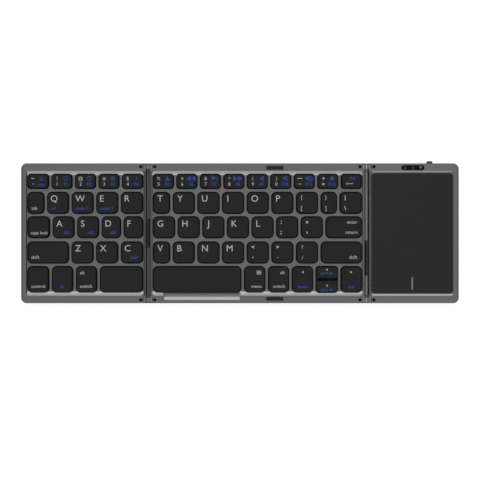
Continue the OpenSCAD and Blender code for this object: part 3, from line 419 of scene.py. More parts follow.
def touch_glass():
    """Etched glass with a pale line between the two click areas."""
    f = Finish("touch_glass", specular_ior_level=0.2)
    low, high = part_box("touchpad")
    middle = (low.x + high.x) / 2
    across = f.band(f.x, middle - 0.6 * MM, middle + 0.6 * MM, 0.1 * MM)
    line = across * f.band(f.y, -39.3 * MM, -30.9 * MM, 0.15 * MM)
    etch = f.noise(0.05 * MM, 2)
    smear = f.noise(18 * MM, 2)
    color = f.mix(smear, (0.0125, 0.0127, 0.013), (0.0145, 0.0147, 0.015))
    color = f.mix(line, color, (0.19, 0.19, 0.195))
    return f.paint(color, 0.34 + 0.06 * etch + 0.04 * smear, height=etch, bump=0.001 * MM)


def steel(name, brushed):
    """Steel with streaks, which are long where brushed is small."""
    f = Finish(name, metallic=1.0)
    streak = f.noise(0.2 * MM, 3, brushed)
    return f.paint(f.mix(streak, (0.42, 0.42, 0.43), (0.6, 0.6, 0.61)), 0.22 + 0.16 * streak,
                   height=streak, bump=0.002 * MM)


def board(node):
    """Green solder mask with copper tracks under it; what stands above the board is black."""
    f = Finish("board_" + node, specular_ior_level=0.4)
    low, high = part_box(node)
    pitch = 0.8 * MM
    track = f.ramp((f.x * (2 * math.pi / pitch) + f.noise(6 * MM, 0) * 9).wave(), 0.2, 0.5)
    mask = f.mix(track, (0.008, 0.09, 0.045), (0.02, 0.16, 0.08))
    above = f.z - low.z if node == "main_board" else high.z - f.z
    thick = 0.85 * MM
    chips = f.ramp(above, thick, thick + 0.05 * MM)
    return f.paint(f.mix(chips, mask, (0.015, 0.015, 0.016)), 0.3 + 0.2 * chips,
                   height=track, bump=0.03 * MM)


def foil():
    """Creased foil of the battery's pouch."""
    f = Finish("battery_foil", metallic=0.9)
    crease = f.noise(2.5 * MM, 3)
    return f.paint(f.mix(crease, (0.5, 0.51, 0.53), (0.66, 0.67, 0.69)), 0.26 + 0.14 * crease,
                   height=crease, bump=0.08 * MM)


def flex_film():
    """Black film over conductors that run across the hinge."""
    f = Finish("flex_film", specular_ior_level=0.4)
    pitch = 1 * MM
    wire = f.ramp((f.y * (2 * math.pi / pitch)).wave(), -0.1, 0.1)
    return f.paint(f.mix(wire, (0.010, 0.010, 0.010), (0.018, 0.018, 0.018)), 0.32 + 0.1 * wire,
                   height=wire, bump=0.02 * MM)


def socket_steel():
    """Drawn steel with a black tongue inside."""
    f = Finish("socket_steel")
    low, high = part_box("charging_socket")
    middle = (low + high) / 2
    tongue = f.band(f.x, middle.x - 3.4 * MM, middle.x + 3.4 * MM)
    tongue = tongue * f.band(f.z, middle.z - 0.4 * MM, middle.z + 0.4 * MM)
    tongue = tongue * f.ramp(f.y, high.y - 0.3 * MM, high.y - 0.5 * MM)
    scratch = f.noise(0.3 * MM, 2, (1, 0.1, 1))
    steel_grey = f.mix(scratch, (0.45, 0.45, 0.46), (0.6, 0.6, 0.61))
    return f.paint(f.mix(tongue, steel_grey, (0.012, 0.012, 0.012)), 0.25 + 0.15 * scratch, 1 - tongue)


def key_plastic():
    """Black key plastic, matt on top, with painted shade along its rolled edge and sides."""
    f = Finish("key_plastic", specular_ior_level=0.1)
    spark = f.noise(0.18 * MM, 3)
    cloud = f.noise(6 * MM, 2)
    dark = tuple(0.85 * c for c in KEY_BLACK)
    light = tuple(1.15 * c for c in KEY_BLACK)
    face = f.mix(0.5 * spark + 0.5 * cloud, dark, light)
    # The inset places the painted edge shade: full near the outline, gone by PLAIN_INSET
    inset = f.node("ShaderNodeAttribute", {"attribute_name": "inset"}, out="Fac")
    return f.paint(f.mix(f.ramp(inset, PLAIN_INSET, 0.3 * MM), face, KEY_EDGE_SHADE), 0.5 + 0.1 * spark,
                   height=spark, bump=0.008 * MM)


WHITE_INK = ink("legend_white", (0.52, 0.52, 0.52))
BLUE_INK = ink("legend_blue", (0.037, 0.064, 0.34))
LIGHT_INK = ink("light_pipe", (0.21, 0.21, 0.21))
CAP_PLASTIC = key_plastic()
SCREW_BLACK = moulded("screw_black_oxide", (0.006, 0.006, 0.006), 0.45, metallic=0.2,
                      specular_ior_level=0.15)
# Near black, so that the gaps round the caps, where the sheet shows, are dark
DOME_RUBBER = moulded("dome_silicone", (0.006, 0.006, 0.006), 0.6, specular_ior_level=0.1)
RUBBER = moulded("rubber", (0.013, 0.013, 0.013), 0.75, grain=0.25 * MM, specular_ior_level=0.25)

FINISHES = {
    "left_deck": anodised(
        "left_anodised", key_deck_cuts(LEFT_EDGE + SIDE_RIM, LEFT_INNER - HINGE_STRIP),
        hinge_shade(LEFT_INNER, -1, dark=0.78, start=3.2 * MM, full=1.4 * MM, lit=1.3 * MM)),
    "mid_deck": anodised(
        "middle_anodised", key_deck_cuts(MID_EDGE + HINGE_STRIP, MID_INNER - HINGE_STRIP, relief=True),
        both_shades(hinge_shade(MID_EDGE, 1, dark=0.75, start=2.3 * MM, full=1.3 * MM, rolled=0.6),
                    hinge_shade(MID_INNER, -1, dark=1.0, start=1.6 * MM, full=0.8 * MM))),
    "right_frame": anodised(
        "right_anodised", pad_cuts,
        hinge_shade(RIGHT_INNER, 1, dark=0.62, start=2.5 * MM, full=0.9 * MM, lit=1.0 * MM), BRIGHT_GREY),
    ("left_back_cover", "mid_back_cover", "right_back_cover"): anodised("cover_anodised"),
    # The two bridges are one metal; their colours differ by painted light and shade
    ("left_spine", "left_links"): bridge_metal(
        "left", base=(0.15, 0.15, 0.153), dark=(0.05, 0.05, 0.052), rib=(0.3, 0.3, 0.304),
        plate=(0.125, 0.125, 0.127), lean=0.45 * MM),
    ("right_spine", "right_links"): bridge_metal(
        "right", base=(0.25, 0.25, 0.253), dark=(0.06, 0.06, 0.062), rib=(0.52, 0.52, 0.525),
        plate=GREY, lean=-0.36 * MM),
    ("left_pins", "right_pins"): steel("pin_steel", (1, 0.1, 1)),
    ("mid_base_plate", "left_base_plate"): steel("plate_steel", (0.1, 1, 1)),
    ("mid_dome_sheet", "left_dome_sheet"): DOME_RUBBER,
    # One rubber on both hinges; the right sleeve is made lighter by painted light
    "left_sleeve": moulded("left_sleeve_rubber", (0.016, 0.016, 0.017), 0.6, specular_ior_level=0.3),
    "right_sleeve": moulded("right_sleeve_rubber", (0.026, 0.026, 0.027), 0.6, specular_ior_level=0.35),
    "rest_pads": moulded("pad_rubber", (0.015, 0.015, 0.016), 0.7, specular_ior_level=0.25),
    "touchpad": touch_glass(),
    "touch_sensor_board": board("touch_sensor_board"),
    "main_board": board("main_board"),
    "battery": foil(),
    "charging_socket": socket_steel(),
    "light_window": moulded("window_black", (0.004, 0.004, 0.004), 0.12, bump=0.0005 * MM,
                            specular_ior_level=0.06),
    "power_knob": moulded("knob_black", (0.014, 0.014, 0.014), 0.5),
}


def dress_nodes():
    """Gives the CAD nodes their finishes. The keys, screws, feet and cables are replaced instead."""
    for names, material in FINISHES.items():
        for name in [names] if isinstance(names, str) else names:
            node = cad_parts[name]
            node.data.materials.clear()
            node.data.materials.append(material)


# Keycaps

KEY_NODES = sorted(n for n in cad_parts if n.startswith("key"))
LEFT_KEYS = [n for n in KEY_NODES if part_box(n)[0].x < LEFT_INNER]
MID_KEYS = [n for n in KEY_NODES if n not in LEFT_KEYS]
LOW_KEYS = ("keys_number_left", "keys_number_mid", "key_backspace", "key_arrow_up", "key_arrow_down")
# Corner radii of the caps, of the two arrow keys where they meet, and of the openings
KEY_RADIUS = 3.4 * MM
LOW_KEY_RADIUS = 2.35 * MM
ARROW_RADIUS = 0.6 * MM
OPENING_RADIUS = 2.9 * MM
LOW_OPENING_RADIUS = 2.1 * MM
CORNER_STEPS = 7
# Rings round a cap in millimetres, by inset from its outline and depth below its top: from the ceiling
# inside to the foot, up the side to the rolled edge, and the insets of those across the top
CAP_INSIDE = [(4.2, 0.9), (0.95, 0.9), (0.9, 0.98), (0.9, 1.5), (0.2, 1.5)]
CAP_OUTSIDE = [(0.1, 1.44), (0.08, 1.36), (0.17, 0.46), (0.21, 0.27), (0.28, 0.13), (0.38, 0.04),
               (0.52, 0.0)]
CAP_TOP = [0.9, 1.5, 2.3, 3.2, 4.2]
# Most that a ring is drawn in, and most of a corner's radius, as shares of half the shorter side, and the
# share of its radius that a corner keeps when it is drawn in
MOST_INSET = 0.9
MOST_ROUND = 0.98
LEAST_ROUND = 0.35
# Edges without the painted edge shade, besides those at the front of the whole front row, how far in and
# down that goes, and how near to the front rim a key of that row starts
PALE_EDGES = {"key_arrow_up": ("front",), "key_arrow_down": ("rear", "front")}
PALE_WIDTH = 0.6 * MM
PALE_DEPTH = 0.2 * MM
FRONT_ROW = 10 * MM
# Hollow in a cap's top: its depth, and the insets where it starts and where it is full
DISH = 0.14 * MM
DISH_START = 0.52 * MM
DISH_REACH = 4.2 * MM


def outline(low, high, radii, inset):
    """Points round a rectangle drawn in by inset, with a radius for each corner, from the front left."""
    x0, y0 = low.x + inset, low.y + inset
    x1, y1 = high.x - inset, high.y - inset
    most = MOST_ROUND * min(x1 - x0, y1 - y0) / 2
    points = []
    for i, (cx, cy) in enumerate([(x0, y0), (x1, y0), (x1, y1), (x0, y1)]):
        r = min(max(radii[i] - inset, LEAST_ROUND * radii[i]), most)
        px = cx + r if cx == x0 else cx - r
        py = cy + r if cy == y0 else cy - r
        for k in range(CORNER_STEPS + 1):
            turn = math.pi + math.pi / 2 * (i + k / CORNER_STEPS)
            points.append((px + r * math.cos(turn), py + r * math.sin(turn)))
    return points


def dish(inset):
    """Depth of the hollow in a cap's top, by the distance from its outline."""
    share = min(max((inset - DISH_START) / (DISH_REACH - DISH_START), 0), 1)
    return DISH * (1 - (1 - share) ** 2)


def key_rects(node):
    """Lowest and highest corner of each key in a node, from left to right."""
    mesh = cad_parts[node].data
    low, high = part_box(node)
    faces = [[mesh.vertices[v].co.x for v in p.vertices] for p in mesh.polygons]
    spans = sorted((min(xs), max(xs)) for xs in faces)
    least_gap = 0.01 * MM
    merged = [list(spans[0])]
    for start, end in spans[1:]:
        if start > merged[-1][1] + least_gap:
            merged.append([start, end])
        merged[-1][1] = max(merged[-1][1], end)
    return [(Vector((a, low.y, low.z)), Vector((b, high.y, high.z))) for a, b in merged]


# How much a cap is drawn in from its key's box, in millimetres: at the front and the rear in each row, at
# its sides, at the outer edge of the left panel, in the middle panel's first column, and left of a hinge
ROW_TRIM = {"number": (0.25, 0.32), "upper": (0.25, 0.45), "home": (0.47, 0.06), "lower": (0.17, 0.42),
            "bottom": (0.5, 0.28), "arrow_up": (0.1, 0.2), "arrow_down": (0.3, 0.1)}
ROW_ENDS = {"key_backspace": "number", "key_tab": "upper", "key_caps_lock": "home", "key_enter": "home",
            "key_shift_left": "lower", "key_shift_right": "lower"}
SIDE_TRIM = 0.2
OUTER_TRIM = 0.57
FIRST_TRIM = 0.4
HINGE_TRIM = 0.02
# How near a key has to be to an edge to be the one beside it
OUTER_NEAR = 5 * MM
HINGE_NEAR = 4 * MM


def cap_box(node, low, high):
    """The box of a key drawn in to its cap, as its lowest and highest corner."""
    row = next((r for r in ROW_TRIM if r in node), ROW_ENDS.get(node, "bottom"))
    front, rear = ROW_TRIM[row]
    left = right = SIDE_TRIM
    if low.x < LEFT_EDGE + OUTER_NEAR:
        left = OUTER_TRIM
    elif 0 < low.x - MID_EDGE < HINGE_NEAR:
        left = FIRST_TRIM
    if min(abs(high.x - LEFT_INNER), abs(high.x - MID_INNER)) < HINGE_NEAR:
        right = HINGE_TRIM
    return low + Vector((left, front, 0)) * MM, high - Vector((right, rear, 0)) * MM


def join_loops(work, loops):
    """Faces between each loop of corners and the next."""
    count = len(loops[0])
    for one, other in zip(loops, loops[1:]):
        for i in range(count):
            j = (i + 1) % count
            work.faces.new((one[i], one[j], other[j], other[i]))


def add_cap(work, low, high, radii, pale):
    """Adds one cap, and notes each corner's inset for its painted edge shade. The sides in pale have no
    painted edge shade.
    """
    most = MOST_INSET * min(high.x - low.x, high.y - low.y) / 2
    rings = [(i * MM, high.z - d * MM) for i, d in CAP_INSIDE + CAP_OUTSIDE]
    rings += [(i * MM, high.z - dish(i * MM)) for i in CAP_TOP]
    depth = work.verts.layers.float.get("inset") or work.verts.layers.float.new("inset")
    loops = []
    for inset, z in rings:
        inset = min(inset, most)
        loops.append([work.verts.new((x, y, z)) for x, y in outline(low, high, radii, inset)])
        for corner in loops[-1]:
            # Near the sides in pale, the top down to PALE_DEPTH takes no painted edge shade
            at_front = "front" in pale and corner.co.y < low.y + PALE_WIDTH
            plain = at_front or "rear" in pale and corner.co.y > high.y - PALE_WIDTH
            corner[depth] = PLAIN_INSET if plain and z > high.z - PALE_DEPTH else inset
    join_loops(work, loops)
    work.faces.new(loops[0])
    work.faces.new(reversed(loops[-1]))


def cap_radii(node):
    """Corner radii of a cap from the front left: smaller on the low keys, least between the arrow pair."""
    full = LOW_KEY_RADIUS if node in LOW_KEYS else KEY_RADIUS
    front = ARROW_RADIUS if node == "key_arrow_up" else full
    rear = ARROW_RADIUS if node == "key_arrow_down" else full
    return [front, front, rear, rear]


def make_caps():
    for node in KEY_NODES:
        work = bmesh.new()
        for low, high in key_rects(node):
            in_front_row = low.y < FRONT_ROW - RIM_Y
            pale = PALE_EDGES.get(node, ("front",) if in_front_row else ())
            add_cap(work, *cap_box(node, low, high), cap_radii(node), pale)
        piece = piece_of(work, "cap_" + node, CAP_PLASTIC, crease=40)
        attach(piece, node)
        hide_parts(node)


# Rubber domes under the keys

SHEET_T = 0.3 * MM
# Radii of a dome, and how deep it goes into the sheet
DOME_SIDES = 32
DOME_FOOT = 2.52 * MM
DOME_TOP = 1.6 * MM
DOME_SINK = 0.05 * MM


def make_domes(node, body, keys):
    """Rubber sheet of one panel, and domes under its keys."""
    low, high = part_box(node)
    top = low.z + SHEET_T
    foot = top - DOME_SINK
    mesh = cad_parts[node].data.copy()
    for v in mesh.vertices:
        v.co.z = min(v.co.z, top)
    mesh.materials.clear()
    mesh.materials.append(DOME_RUBBER)
    tidy(mesh)
    pieces = [linked("flat_" + node, mesh)]
    for key in keys:
        work = bmesh.new()
        for start, end in key_rects(key):
            place = Matrix.Translation(((start.x + end.x) / 2, (start.y + end.y) / 2, (foot + high.z) / 2))
            bmesh.ops.create_cone(work, cap_ends=True, segments=DOME_SIDES, radius1=DOME_FOOT,
                                  radius2=DOME_TOP, depth=high.z - foot, matrix=place)
        pieces.append(piece_of(work, "domes_" + key, DOME_RUBBER, crease=35))
    for piece in pieces:
        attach(piece, body)
        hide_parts(node)
    for key, piece in zip(keys, pieces[1:]):
        "press_" + key.split("_", 1)[1]
        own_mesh(piece)


# Raised lips round the key openings

# How far a lip reaches past its key's box, its gap round the cap, its rounded inner edge, how far it stands
# above the deck and goes down below it, and how wide it is at most along the left of an opening
LIP_REACH = 0.4 * MM
LIP_GAP = 0.13 * MM
LIP_ROUND = 0.08 * MM
LIP_RISE = 0.03 * MM
LIP_DEPTH = 0.25 * MM
LIP_LEFT = 0.22 * MM


def deck_height(y):
    """Height of the recess that the keys stand in, which climbs to the rims at the front and rear."""
    climb = max(0, abs(y) - (RIM_Y - RECESS_SLOPE)) / RECESS_SLOPE
    return DECK_Z + min(climb, 1) * RECESS_DEPTH


def add_lip(work, opening, cap):
    """Adds a closed ring from round an opening to close round its cap, each given by corners and radius."""
    loops = []
    for (low, high, radius), reach, rise in (
            (opening, LIP_REACH, -LIP_DEPTH), (opening, LIP_REACH, LIP_RISE),
            (cap, LIP_GAP + LIP_ROUND, LIP_RISE), (cap, LIP_GAP, LIP_RISE - LIP_ROUND),
            (cap, LIP_GAP, -LIP_DEPTH)):
        points = outline(low, high, [radius] * 4, -reach)
        loops.append([work.verts.new((x, y, deck_height(y) + rise)) for x, y in points])
    join_loops(work, loops + loops[:1])


def make_lips(name, body, deck, nodes):
    """Lips of one panel's openings. The two low arrow keys share theirs."""
    work = bmesh.new()
    for node in nodes:
        if node == "key_arrow_down":
            continue
        for low, high in key_rects(node):
            start, end = cap_box(node, low, high)
            start.x = min(start.x, low.x + LIP_LEFT)
            if node == "key_arrow_up":
                low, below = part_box("key_arrow_down")
                start = cap_box("key_arrow_down", low, below)[0]
            small = node in LOW_KEYS
            add_lip(work, (low, high, LOW_OPENING_RADIUS if small else OPENING_RADIUS),
                    (start, end, LOW_KEY_RADIUS if small else KEY_RADIUS))
    piece = piece_of(work, name, FINISHES[deck], crease=30)
    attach(piece, body)


# Legends

LETTER = 4.4 * MM
SMALL = 2.3 * MM
INK_T = 0.02 * MM
# Height of a capital letter as a share of the font's size
CAP_SHARE = 0.69
# How high the middle of a mark is above a cap, and above the dark window
CAP_LIFT = 0.4 * INK_T
WINDOW_LIFT = 0.3 * INK_T
# How much the small signs, the thin arrow and the blue marks are thickened
SIGN_BOLD = 0.09 * MM
ARROW_BOLD = 0.05 * MM
BLUE_BOLD = 0.06 * MM


# Each mark is its ink, text, height, side and place: how far it is from the key's left edge (its right edge
# for side RIGHT, or centred for 0 and CENTER), and how far from its front or rear edge

def letter(text, x=3.0 * MM):
    return [("white", text, LETTER, "LEFT", (x, "rear", 5.05 * MM))]


def mid_letter(text):
    return letter(text, 3.9 * MM if text == "I" else 3.45 * MM)


def pair(upper, lower, symbol, label):
    """White figure under its shifted sign at the left, blue label under its symbol at the right."""
    return [("white", upper, SMALL, "CENTER", (4.3 * MM, "rear", 3.5 * MM)),
            ("white", lower, SMALL, "CENTER", (4.3 * MM, "rear", 7.45 * MM)),
            ("blue", symbol, 2.6 * MM, "CENTER", (10.4 * MM, "rear", 3.55 * MM)),
            ("blue", label, 2.3 * MM, "CENTER", (10.4 * MM, "rear", 7.6 * MM))]


def signs(upper, lower, x=4.5 * MM, size=2.6 * MM):
    return [("white", upper, size, "CENTER", (x, "rear", 4.2 * MM)),
            ("white", lower, size, "CENTER", (x, "front", 4.3 * MM))]


def word(text, side="LEFT", color="white", x=3.3 * MM, row="front", y=4.6 * MM, size=SMALL):
    return [(color, text, size, side, (x, row, y))]


def arrow(symbol, text):
    return [("white", symbol, 1.35 * MM, "CENTER", (0.0, "rear", 4.4 * MM)),
            ("blue", text, 2.1 * MM, "CENTER", (0.0, "front", 4.6 * MM))]


LEGENDS = {
    "keys_number_left": [pair("~", "`", "⌂", "esc"), pair("!", "1", "○", "F1"), pair("@", "2", "☀", "F2"),
                         pair("#", "3", "☰", "F3"), pair("$", "4", "♪", "F4")],
    "keys_number_mid": [pair("%", "5", "▲", "F5"), pair("^", "6", "◄◄", "F6"), pair("&", "7", "►|", "F7"),
                        pair("*", "8", "►►", "F8"), pair("(", "9", "◄", "F9"), pair(")", "0", "◄)", "F10"),
                        pair("—", "–", "◄))", "F11"), pair("+", "=", "●", "F12")],
    "key_backspace": [word("del", "CENTER", "blue", 8.3 * MM, "rear", 3.3 * MM, 2.2 * MM)
                      + word("←", "CENTER", "white", 4.7 * MM, "rear", 7.2 * MM, 1.5 * MM)
                      + word("—", "CENTER", "white", 7.1 * MM, "rear", 7.2 * MM, 2.1 * MM)],
    "key_tab": [word("tab", y=4.2 * MM)],
    "keys_upper_left": [letter("Q") + word("m1", color="blue", y=4.1 * MM, size=2.0 * MM),
                        letter("W") + word("mode 2", color="blue", y=4.1 * MM, size=2.0 * MM),
                        letter("E") + word("mode 3", color="blue", y=4.1 * MM, size=2.0 * MM), letter("R")],
    "keys_upper_mid": [mid_letter(c) for c in "TYUIOP"]
                      + [signs("{", "[", 4 * MM), signs("}", "]", 3.6 * MM), signs("|", "\\", 4 * MM)],
    "key_caps_lock": [word("caps lock", x=3 * MM, y=4.3 * MM, size=2.2 * MM)],
    "keys_home_left": [letter(c) + word(t, "RIGHT", "blue", x=3.6 * MM, size=2.1 * MM)
                       for c, t in (("A", "ch1"), ("S", "ch2"), ("D", "ch3"))] + [letter("F")],
    "keys_home_mid": [mid_letter(c) for c in "GHJKL"]
                     + [signs(":", ";", 3.6 * MM, 3.2 * MM), signs("\"", "'", size=3.7 * MM)],
    "key_enter": [word("enter", "RIGHT", x=3.4 * MM, row="rear", y=4 * MM)
                  + word("return", "RIGHT", x=3.4 * MM, y=4.7 * MM)],
    "key_shift_left": [word("shift")],
    "keys_lower_left": [letter("Z"), letter("X"),
                        letter("C") + word("pair", "RIGHT", "blue", 3.6 * MM, size=2.2 * MM)],
    "keys_lower_mid": [mid_letter(c) for c in "VBNM"] + [signs("<", ","), signs(">", "."), signs("?", "/")],
    "key_shift_right": [word("shift", "RIGHT", x=3.4 * MM)],
    "key_control": [word("control", y=4.9 * MM)],
    "key_fn": [word("fn", "CENTER", "blue", 0.0, y=4.8 * MM)],
    "key_alt_left": [word("alt", row="rear", y=4.7 * MM) + word("switch", y=4.9 * MM)],
    "key_space_left": [[]],
    "key_space_right": [[]],
    "key_menu": [word("☰", "RIGHT", x=3.1 * MM, row="rear", y=4.7 * MM, size=3 * MM)
                 + word("menu", "RIGHT", x=2.9 * MM, y=4.9 * MM)],
    "key_alt_right": [word("alt", "RIGHT", x=3.2 * MM, row="rear", y=4.6 * MM)
                      + word("switch", "RIGHT", x=3.2 * MM, y=4.9 * MM)],
    "key_arrow_left": [arrow("◄", "home")],
    "key_arrow_right": [arrow("►", "end")],
    "key_arrow_up": [word("▲", "CENTER", "white", 0.0, "rear", 2.4 * MM, 1.2 * MM)
                     + word("page up", "CENTER", "blue", 0.0, "rear", 4.9 * MM, 1.9 * MM)],
    "key_arrow_down": [word("▼", "CENTER", "white", 0.0, "rear", 4 * MM, 1.2 * MM)
                       + word("page dn", "CENTER", "blue", 0.0, "rear", 6.4 * MM, 1.9 * MM)],
}


# Signs that are thickened, and marks that are centred by their own height and not by a capital's
SMALL_SIGNS = set("~`+=*^—–:;,.'\"<>\\|←")
CENTRED_SIGNS = SMALL_SIGNS - set("<>\\|") | set("⌂○☀☰♪▲▼◄►●") | {"◄◄", "►►", "►|", "◄)", "◄))"}


def add_text(work, text, height, side, at, bold=0.0, drape=None):
    """Adds the closed letters of one mark to a mesh, at a height or draped over a cap's hollow top."""
    curve = bpy.data.curves.new("mark", "FONT")
    curve.body = text
    curve.size = height / CAP_SHARE
    curve.extrude = INK_T / 2
    curve.offset = bold
    curve.resolution_u = 3
    maker = linked("mark", curve)
    mesh = bpy.data.meshes.new_from_object(maker.evaluated_get(bpy.context.evaluated_depsgraph_get()))
    bpy.data.objects.remove(maker)
    bpy.data.curves.remove(curve)
    xs = [v.co.x for v in mesh.vertices]
    ys = [v.co.y for v in mesh.vertices]
    line = (min(ys) + max(ys)) / 2 if text in CENTRED_SIGNS else height / 2
    start = {"LEFT": min(xs), "CENTER": (min(xs) + max(xs)) / 2, "RIGHT": max(xs)}[side]
    mesh.transform(Matrix.Translation(Vector(at) - Vector((start, line, 0))))
    if drape is not None:
        for v in mesh.vertices:
            v.co.z -= drape(v.co)
    work.from_mesh(mesh)
    bpy.data.meshes.remove(mesh)


def make_legends():
    inks = {"white": WHITE_INK, "blue": BLUE_INK}
    for node in KEY_NODES:
        works = {}
        for (low, high), marks in zip(key_rects(node), LEGENDS[node]):
            start, end = cap_box(node, low, high)

            def drape(p):
                return dish(min(p.x - start.x, end.x - p.x, p.y - start.y, end.y - p.y))

            for color, text, height, side, (x, row, y) in marks:
                if side == "RIGHT":
                    px = high.x - x
                elif side == "CENTER" and x == 0:
                    px = (low.x + high.x) / 2
                else:
                    px = low.x + x
                py = high.y - y if row == "rear" else low.y + y
                bold = BLUE_BOLD if color == "blue" else 0.0
                if text in SMALL_SIGNS:
                    bold = ARROW_BOLD if text == "←" else SIGN_BOLD
                if color not in works:
                    works[color] = bmesh.new()
                at = (px, py, high.z + CAP_LIFT)
                add_text(works[color], text, height, side, at, bold, drape)
        for color, work in works.items():
            piece = piece_of(work, f"legend_{color}_{node}", inks[color])
            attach(piece, node)


# Screws and feet

SCREW_SIDES = 40
FOOT_CORNER_POINTS = 10
PANELS = {"left": "left_wing", "mid": "middle_panel", "right": "right_wing"}


def screw_recipe():
    """Countersunk screw with a cross recess, its head's top at the point."""
    r = Recipe("countersunk_screw", head=1.18 * MM, cone=0.6 * MM, shank=0.6 * MM, length=4.65 * MM,
               cross=1.4 * MM, slot=0.32 * MM, depth=0.34 * MM, finish=SCREW_BLACK)
    g = r.given
    sides = {"Vertices": SCREW_SIDES}
    edge = 0.06 * MM
    head = r.node("GeometryNodeMeshCone", {}, {
        **sides, "Radius Top": g["head"], "Radius Bottom": g["shank"], "Depth": g["cone"] - edge})
    head = r.raised(head, -1 * g["cone"])
    rim = r.node("GeometryNodeMeshCone", {}, {
        **sides, "Radius Top": g["head"] - edge, "Radius Bottom": g["head"], "Depth": edge})
    rim = r.raised(rim, -edge)
    shank = r.node("GeometryNodeMeshCylinder", {}, {
        **sides, "Radius": g["shank"], "Depth": g["length"] - g["cone"] / 2})
    shank = r.raised(shank, g["length"] * -0.5 - g["cone"] / 4)
    bars = [r.node("GeometryNodeMeshCube", {}, {"Size": r.vector(x, y, g["depth"] * 2)})
            for x, y in ((g["cross"], g["slot"]), (g["slot"], g["cross"]))]
    body = r.node("GeometryNodeMeshBoolean", {"operation": "UNION"}, {"Mesh 2": [head, rim, shank]})
    body = r.node("GeometryNodeMeshBoolean", {"operation": "DIFFERENCE"}, {"Mesh 1": body, "Mesh 2": bars})
    return r.close(body)


def centres(node):
    """Middle of each separate solid in a node, seen from above."""
    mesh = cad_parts[node].data
    work = bmesh.new()
    work.from_mesh(mesh)
    bmesh.ops.remove_doubles(work, verts=work.verts, dist=DOUBLE)
    left = set(work.verts)
    found = []
    while left:
        pending = [left.pop()]
        group = list(pending)
        while pending:
            for edge in pending.pop().link_edges:
                for v in edge.verts:
                    if v in left:
                        left.remove(v)
                        pending.append(v)
                        group.append(v)
        xs = [v.co.x for v in group]
        ys = [v.co.y for v in group]
        found.append(((min(xs) + max(xs)) / 2, (min(ys) + max(ys)) / 2))
    work.free()
    return sorted(found)


def make_screws():
    recipe = screw_recipe()
    for side, body in PANELS.items():
        node = side + "_screws"
        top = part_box(node)[1].z
        piece = recipe.grow("cross_" + node, [(x, y, top) for x, y in centres(node)])
        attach(piece, body)
        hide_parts(node)


def extruded(r, shape, end, step):
    """The shape with its end, or all of it, pushed down by step, and the new end."""
    inputs = {"Mesh": shape, "Offset": r.vector(z=-1 * step), "Offset Scale": 1.0}
    if end is not None:
        inputs["Selection"] = end
    made = r.node("GeometryNodeExtrudeMesh", {}, inputs)
    return made, Wire(r, made.socket.node.outputs["Top"])


def foot_recipe():
    """Rubber foot with round ends and a rolled lower edge, its seat at the point."""
    r = Recipe("rubber_foot", length=16 * MM, width=5 * MM, height=0.9 * MM, roll=0.25 * MM, finish=RUBBER)
    g = r.given
    oblong = r.node("GeometryNodeCurvePrimitiveQuadrilateral", {}, {
        "Width": g["length"], "Height": g["width"]})
    rounded = r.node("GeometryNodeFilletCurve", {"mode": "POLY"}, {
        "Curve": oblong, "Count": FOOT_CORNER_POINTS, "Radius": g["width"] * 0.4999})
    seat = r.node("GeometryNodeFillCurve", {"mode": "NGONS"}, {"Curve": rounded})
    shape, end = extruded(r, seat, None, g["height"] - g["roll"])
    for share, step in ((0.995, 0.5), (0.975, 0.3), (0.93, 0.2)):
        shape, end = extruded(r, shape, end, g["roll"] * step)
        shape = r.node("GeometryNodeScaleElements", {}, {
            "Geometry": shape, "Selection": end, "Scale": share})
    closed = r.node("GeometryNodeJoinGeometry", {}, {"Geometry": [seat, shape]})
    merged = r.node("GeometryNodeMergeByDistance", {}, {"Geometry": closed, "Distance": DOUBLE})
    return r.close(merged)


def make_feet():
    recipe = foot_recipe()
    for side, body in PANELS.items():
        node = side + "_feet"
        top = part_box(node)[1].z
        piece = recipe.grow("moulded_" + node, [(x, y, top) for x, y in centres(node)])
        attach(piece, body)
        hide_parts(node)


# Cables through the hinges

FILM_STEPS = 40


def make_flex(side, wing):
    """Film cable in two halves, from the middle of the hinge to each end."""
    node = side + "_flex_cable"
    low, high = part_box(node)
    section = ((low.y, low.z), (high.y, low.z), (high.y, high.z), (low.y, high.z))
    film = flex_film()
    middle = (low + high) / 2
    outer = {"left": -1, "right": 1}[side]
    for name, body, direction in (("inner", "middle_panel", -outer), ("outer", wing, outer)):
        end = high.x if direction > 0 else low.x
        work = bmesh.new()
        loops = []
        for i in range(FILM_STEPS + 1):
            x = middle.x + (end - middle.x) * i / FILM_STEPS
            loops.append([work.verts.new((x, y, z)) for y, z in section])
        join_loops(work, loops)
        work.faces.new(loops[0])
        work.faces.new(loops[-1])
        bmesh.ops.recalc_face_normals(work, faces=work.faces)
        piece = piece_of(work, f"{side}_flex_{name}", film)
        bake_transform(piece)
        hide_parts(node)


# Lights behind the dark window

# Place from the middle of the window, shape and height
LIGHTS = ((-5.2 * MM, "(", 2.4 * MM), (0.1 * MM, "|", 2.2 * MM), (5.5 * MM, "▼", 1.7 * MM))


def make_light_marks():
    low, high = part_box("light_window")
    middle = (low + high) / 2
    work = bmesh.new()
    for x, text, height in LIGHTS:
        add_text(work, text, height, "CENTER", (middle.x + x, middle.y, high.z + WINDOW_LIFT))
    piece = piece_of(work, "light_marks", LIGHT_INK)
    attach(piece, "right_wing")


# Stage, light and camera

FLOOR_HALF = 3.0
FLOOR_Z = -0.05 * MM
# Share of the floor's own light where it is seen, and the strength that makes it white there
FLOOR_GLOW = 0.71
FLOOR_WHITE = 1.18
WORLD_SOFT = 0.62
IMAGE_WIDTH = 480
PIXEL = 0.7 * MM
CAMERA_DISTANCE = 0.5
CAMERA_X = 0.04 * MM
CAMERA_Y = -4.7 * MM


